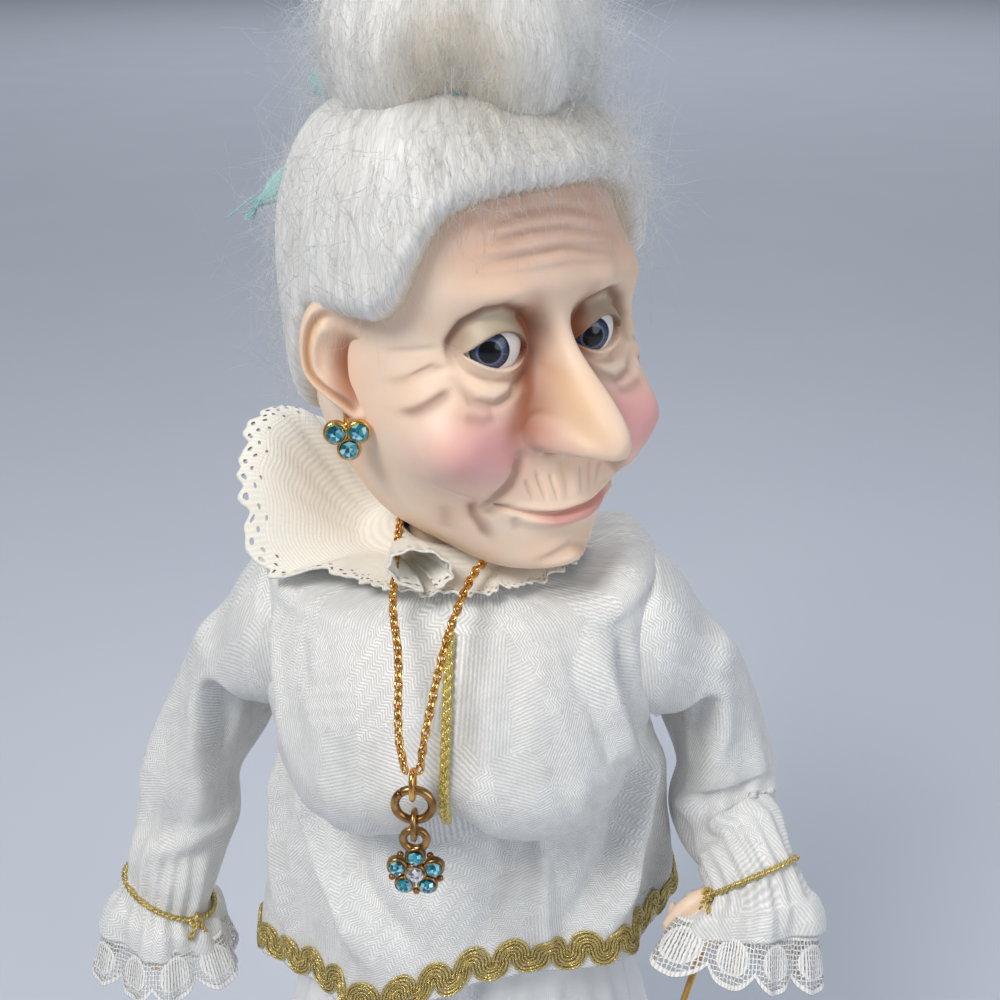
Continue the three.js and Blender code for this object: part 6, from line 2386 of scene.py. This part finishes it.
def cut_stone(radius: float, seed: int) -> Surface:
    """Cut stone facing +Z: a girdle, a ring of kite facets turned half a step, and a flat table.

    Args:
        radius: of the girdle.
        seed: picks each facet's tone of painted reflection, its place in the texture.
    Returns:
        The closed surface.
    """
    n = 8
    turn = directions(n)

    def ring(r: float, z: float, shift: float) -> Array:
        """One ring of corners."""
        return np.stack([r * np.cos(turn + shift), r * np.sin(turn + shift), 0 * turn + z], 1)

    half = np.pi / n
    points = np.vstack([
        ring(radius, 0, 0), ring(radius, 0.25 * radius, 0), ring(0.8 * radius, 0.55 * radius, half),
        ring(0.52 * radius, 0.72 * radius, 0), [(0, 0, 0.74 * radius), (0, 0, -0.2 * radius)],
    ])
    i = np.arange(n)
    j, k, none = np.roll(i, -1), np.roll(i, 1), np.full(n, -1)
    rounds = (
        (i, j, n + j, n + i),
        (n + i, n + j, 2 * n + i, none),
        (2 * n + k, n + i, 2 * n + i, 3 * n + i),
        (3 * n + i, 2 * n + i, 3 * n + j, none),
        (3 * n + i, 3 * n + j, np.full(n, 4 * n), none),
        (j, i, np.full(n, 4 * n + 1), none),
    )
    faces = np.vstack([np.stack(corners, 1) for corners in rounds])
    tone = np.random.default_rng(seed).uniform(0, 1, len(faces))[:, None, None]
    return Surface(points, faces, tone + 0.02 * np.array([(0, 0), (1, 0), (1, 1), (0, 1)]))


def cup(radius: float, rim: float, height: float) -> Surface:
    """Bezel facing +Z: a turned wall with a rounded lip that closes over the stone's edge.

    Args:
        radius: of the stone.
        rim: thickness of the wall.
        height: of the wall.
    Returns:
        The closed surface.
    """
    outer = radius + rim
    profile = (
        (0.1, -height / 2), (outer * 0.9, -height / 2), (outer, -height / 3), (outer, height * 0.25),
        (outer - 0.2 * rim, height / 2), (radius - 0.05, height / 2 + 0.06), (radius - 0.1, height * 0.25),
        (0.1, height * 0.2),
    )
    return lathe(profile, 28)


@dataclass
class Jewels:
    """Necklace with its jump ring and flower pendant, and the earrings."""

    hang: tuple[float, float] = (-4.5, -48.9)
    chain_low: float = 199.5
    chain_pitch: float = 1.55
    chain_half: float = 0.72
    chain_reach: float = 0.72
    chain_wire: float = 0.3
    chain_lean: float = 0.62
    link_z: float = 196.135
    link: float = 1.9
    link_wire: float = 0.5
    link_stretch: float = 1.35
    ring_z: float = 192.02
    ring: float = 3.1
    ring_wire: float = 0.75
    pendant_link_z: float = 187.905
    bail_z: float = 184.84
    bail: float = 2.0
    bail_wire: float = 0.7
    flower_z: float = 178.19
    bead_ring: float = 4.3
    bead: float = 0.62
    petal_ring: float = 3.3
    petal: float = 1.35
    centre: float = 1.5
    rim: float = 0.45
    setting: float = 1.4
    earring: float = 1.6
    lobe: tuple[float, float, float] = (27.0, -3.6, -15.5)
    lobe_face: float = np.radians(32.0)
    layout: tuple[tuple[float, float], ...] = ((-1.9, 0.6), (1.9, 0.6), (0.2, -2.3))

    def route(self) -> Array:
        """The necklace's line: down both fronts to the hanging point and round the nape.

        Returns:
            Places from her right side to her left.
        """
        low = np.array((*self.hang, self.chain_low))
        nape = np.radians((-160, -200, -235, -270, -305, -340, -20))
        back = np.stack([12.2 * np.cos(nape), 12.2 * np.sin(nape), 0 * nape + 220.9], 1)
        return np.vstack([
            low + (-1.3, 0, 0), low + (-2.2, 1.2, 6), (-7.6, -38.6, 214.1), (-9.2, -31.5, 219.1),
            (-10, -21.5, 221.7), back, (9, -11.5, 221.3), (4.4, -21.5, 221.7), (1.6, -31.8, 219.1),
            (-0.4, -39.2, 213.9), low + (2.2, 1.2, 6), low + (1.3, 0, 0),
        ])

    def chain_surface(self) -> Surface:
        """Curb chain: short oval links along the route, each turned the other way from the last.

        Returns:
            The links as one surface.
        """
        length = spans(curve(self.route(), 900)).sum()
        count = int(length / self.chain_pitch)
        path = curve(self.route(), count)
        along, across, up = path_frame(path, (0.0, -0.6, 0.8))
        lean = np.where(np.arange(count) % 2 == 0, self.chain_lean, -self.chain_lean)[:, None]
        side = np.cos(lean) * across + np.sin(lean) * up
        t = directions(12)[None, :, None]
        s = directions(5)[None, None, :, None]
        reach = self.chain_reach * self.chain_pitch
        half = self.chain_half
        centre = path[:, None] + reach * np.cos(t) * along[:, None] + half * np.sin(t) * side[:, None]
        out = np.cos(t) * along[:, None] + np.sin(t) * side[:, None]
        normal = np.cross(along, side)[:, None, None]
        rings = centre[:, :, None] + self.chain_wire * (np.cos(s) * out[:, :, None] + np.sin(s) * -normal)
        return copies(rings, (2.0, 6.0), True)

    def jump_ring_surface(self) -> Surface:
        """The jump ring, with the small gap where it was bent shut.

        Returns:
            The closed surface.
        """
        t = np.linspace(0.06, TURN - 0.06, 90) + np.radians(128)
        x, z = self.ring * np.cos(t) + self.hang[0], self.ring * np.sin(t) + self.ring_z
        return tube(np.stack([x, 0 * t + self.hang[1], z], 1), self.ring_wire, (0, 1, 0), 18)

    def upright_link(self, z: float) -> Surface:
        """An oval link that stands across the jump ring."""
        size = self.link, self.link_wire
        return loop(*size, (*self.hang, z), (0, 1, 0), (0, 0, 1), self.link_stretch)

    def petals(self) -> Array:
        """Places of the five petals, seen from the front."""
        turn = np.pi / 2 + TURN * np.arange(5) / 5
        return self.petal_ring * np.stack([np.cos(turn), np.sin(turn)], 1)

    def on_pendant(self, part: Surface, x: float, z: float, forward: float = 0.0) -> Surface:
        """A part that faces +Z, set on the pendant's front."""
        return facing(part, (0, -1, 0), (self.hang[0] + x, self.hang[1] - forward, self.flower_z + z))

    def pendant_surface(self) -> Surface:
        """The pendant's link, bail, petal cups with beads between them, and middle cup.

        Returns:
            All of it as one surface.
        """
        cups = [self.on_pendant(cup(self.petal, self.rim, self.setting), x, z) for x, z in self.petals()]
        beads = []
        for a in -np.pi / 2 + TURN * np.arange(5) / 5:
            x, z = self.hang[0] + self.bead_ring * np.cos(a), self.flower_z + self.bead_ring * np.sin(a)
            beads.append(ball((x, self.hang[1] - 0.2, z), np.eye(3) * self.bead, 8, 12))
        middle = self.on_pendant(cup(self.centre, self.rim, self.setting), 0, 0, 0.25)
        bail = loop(self.bail, self.bail_wire, (*self.hang, self.bail_z), (1, 0, 0), (0, 0, 1))
        return Surface.join(self.upright_link(self.pendant_link_z), bail, middle, *cups, *beads)

    def earring_part(self, part: Surface, side: Side, x: float, z: float, forward: float) -> Surface:
        """A part that faces +Z, set on the earring's plate at the lobe.

        Args:
            part: what to set.
            side: which one.
            x, z: place on the plate.
            forward: how far in front of it.
        Returns:
            The part in the doll's frame.
        """
        faced = facing(part, (0, -1, 0), (x, -3.4 - forward, z))
        turn = side.value * self.lobe_face
        c, s = np.cos(turn), np.sin(turn)
        spin = np.array([(c, s, 0), (-s, c, 0), (0, 0, 1)])
        points = faced.points @ spin + np.array(self.lobe) * (side.value, 1, 1)
        return HEAD_FRAME.put(Surface(points, faced.faces, faced.uv, faced.marks))

    def build_earring(self, side: Side) -> None:
        """Adds one earring: trefoil of bezels with a stud, and three stones.

        Args:
            side: which one.
        """
        bezel = cup(self.earring, self.rim, self.setting)
        cups = [self.earring_part(bezel, side, x, z, 0) for x, z in self.layout]
        stud = self.earring_part(lathe(((0.5, -6.6), (0.5, 0)), 12), side, 0, 1.6, 0)
        nodes = [f"{side.label}_earring_stone_{k}" for k in (1, 2, 3)]
        Piece(
            f"{side.label}_earring_bezel", Surface.join(*cups, stud), GILT, Body.HEAD, Slot.GILT,
            (f"{side.label}_earring_setting",),
        ).add()
        stones = [
            self.earring_part(cut_stone(self.earring, 70 + k), side, x, z, 0.5 * self.setting)
            for k, (x, z) in enumerate(self.layout)
        ]
        Piece(
            f"{side.label}_earring_stones", Surface.join(*stones), AQUA, Body.HEAD, Slot.AQUA_GLASS,
            tuple(nodes), soft=False,
        ).add()

    def build(self) -> None:
        """Adds the necklace, pendant and earrings."""
        chain = Surface.join(self.chain_surface(), self.upright_link(self.link_z))
        Piece("curb_chain", chain, GILT, Body.FIGURE, Slot.GILT, ("necklace_chain", "chain_link")).add()
        Piece("split_ring", self.jump_ring_surface(), ANTIQUE, Body.RING, Slot.GILT, ("jump_ring",)).add()
        nodes = ("pendant_link", "pendant_setting")
        Piece("flower_setting", self.pendant_surface(), ANTIQUE, Body.PENDANT, Slot.GILT, nodes).add()
        petals = [
            self.on_pendant(cut_stone(self.petal, 80 + k), x, z, 0.5 * self.setting)
            for k, (x, z) in enumerate(self.petals())
        ]
        flower = Surface.join(*petals)
        nodes = tuple(f"pendant_petal_stone_{k}" for k in range(1, 6))
        Piece("petal_stones", flower, AQUA, Body.PENDANT, Slot.AQUA_GLASS, nodes, soft=False).add()
        middle = self.on_pendant(cut_stone(self.centre, 90), 0, 0, 0.5 * self.setting + 0.25)
        nodes = ("pendant_centre_stone",)
        Piece("middle_stone", middle, CLEAR, Body.PENDANT, Slot.CLEAR_GLASS, nodes, soft=False).add()
        for side in Side:
            self.build_earring(side)


@dataclass
class Kept:
    """Solids that keep their CAD shape and only get a finish."""

    finishes: tuple[tuple[str, Finish], ...] = (
        ("wand_rod", GILT), ("wand_star", GILT), ("base_disc", Wood()), ("centre_post", Wood()),
        ("neck_socket", Moulded()),
    )

    def build(self, nodes: dict[str, bpy.types.Object]) -> None:
        """Puts each finish on its node.

        Args:
            nodes: the frame's objects by name.
        """
        for name, finish in self.finishes:
            nodes[name].data.materials.clear()
            nodes[name].data.materials.append(finish.material())
            LOG.info("%s: kept, finished with %s", name, finish.name)


@dataclass
class Studio:
    """Paper floor, soft lights and the camera."""

    target: tuple[float, float, float] = (8.0, -15.0, 232.0)
    distance: float = 220.0
    azimuth: float = np.radians(3.0)
    elevation: float = np.radians(25.0)
    field_of_view: float = np.radians(43.48)
    lights: tuple[tuple[str, tuple[float, float, float], float, float, tuple[float, float, float]], ...] = (
        ("key", (-320, -460, 840), 340, 5.0, (1.0, 0.98, 0.95)),
        ("fill", (620, -420, 420), 520, 1.6, (0.93, 0.96, 1.0)),
        ("top", (80, 260, 900), 500, 1.3, (0.96, 0.98, 1.0)),
        ("wash", (0, 3200, 3000), 3600, 52.0, (0.97, 0.98, 1.0)),
    )
    sky: tuple[float, float, float] = (0.80, 0.86, 0.97)
    sky_strength: float = 0.25
    floor_half: float = 1.2e4
    sensor: float = 36.0
    clip: tuple[float, float] = (0.01, 40.0)

    def build(self) -> None:
        """Adds the floor, lights, sky and camera."""
        scene = bpy.context.scene
        corner = self.floor_half * np.array([[(-1, -1, 0), (1, -1, 0)], [(-1, 1, 0), (1, 1, 0)]], float)
        floor = bpy.data.objects.new("paper_floor", Surface.grid(corner).mesh("paper_floor"))
        floor.data.materials.append(Paper().material())
        scene.collection.objects.link(floor)
        aim = Vector(self.target) * MM
        for name, at, size, power, colour in self.lights:
            lamp = bpy.data.lights.new(name, "AREA")
            lamp.shape, lamp.size, lamp.energy, lamp.color = "DISK", size * MM, power, colour
            down = Vector((at[0], at[1], 0)) * MM
            self.aimed(bpy.data.objects.new(name, lamp), Vector(at) * MM, down if name == "wash" else aim)
        world = bpy.data.worlds.new("studio_sky")
        world.use_nodes = True
        sky = world.node_tree.nodes["Background"]
        sky.inputs["Color"].default_value = (*self.sky, 1.0)
        sky.inputs["Strength"].default_value = self.sky_strength
        scene.world = world
        scene.view_settings.view_transform = "Standard"
        lens = bpy.data.cameras.new("camera")
        lens.sensor_width, lens.angle = self.sensor, self.field_of_view
        lens.clip_start, lens.clip_end = self.clip
        c = np.cos(self.elevation)
        back = Vector((np.sin(self.azimuth) * c, -np.cos(self.azimuth) * c, np.sin(self.elevation)))
        camera = bpy.data.objects.new("camera", lens)
        self.aimed(camera, aim + back * self.distance * MM, aim)
        scene.camera = camera

    def aimed(self, made: bpy.types.Object, at: Vector, aim: Vector) -> None:
        """Puts a lamp or camera at a place, pointing at another.

        Args:
            made: the lamp or camera.
            at: its place.
            aim: where it points.
        """
        bpy.context.scene.collection.objects.link(made)
        made.location = at
        made.rotation_euler = (aim - at).to_track_quat("-Z", "Y").to_euler()


def main() -> None:
    """Builds the doll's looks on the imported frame."""
    logging.basicConfig(level=logging.INFO, format="%(relativeCreated)6d ms  %(message)s")
    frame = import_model()
    sleeves = (Sleeve(side) for side in Side)
    for assembly in (Skirt(), Tunic(), Ruff(), *sleeves, Face(), Hair(), Jewels(), Studio()):
        assembly.build()
    Kept().build(frame["nodes"])


if __name__ == "__main__":
    main()
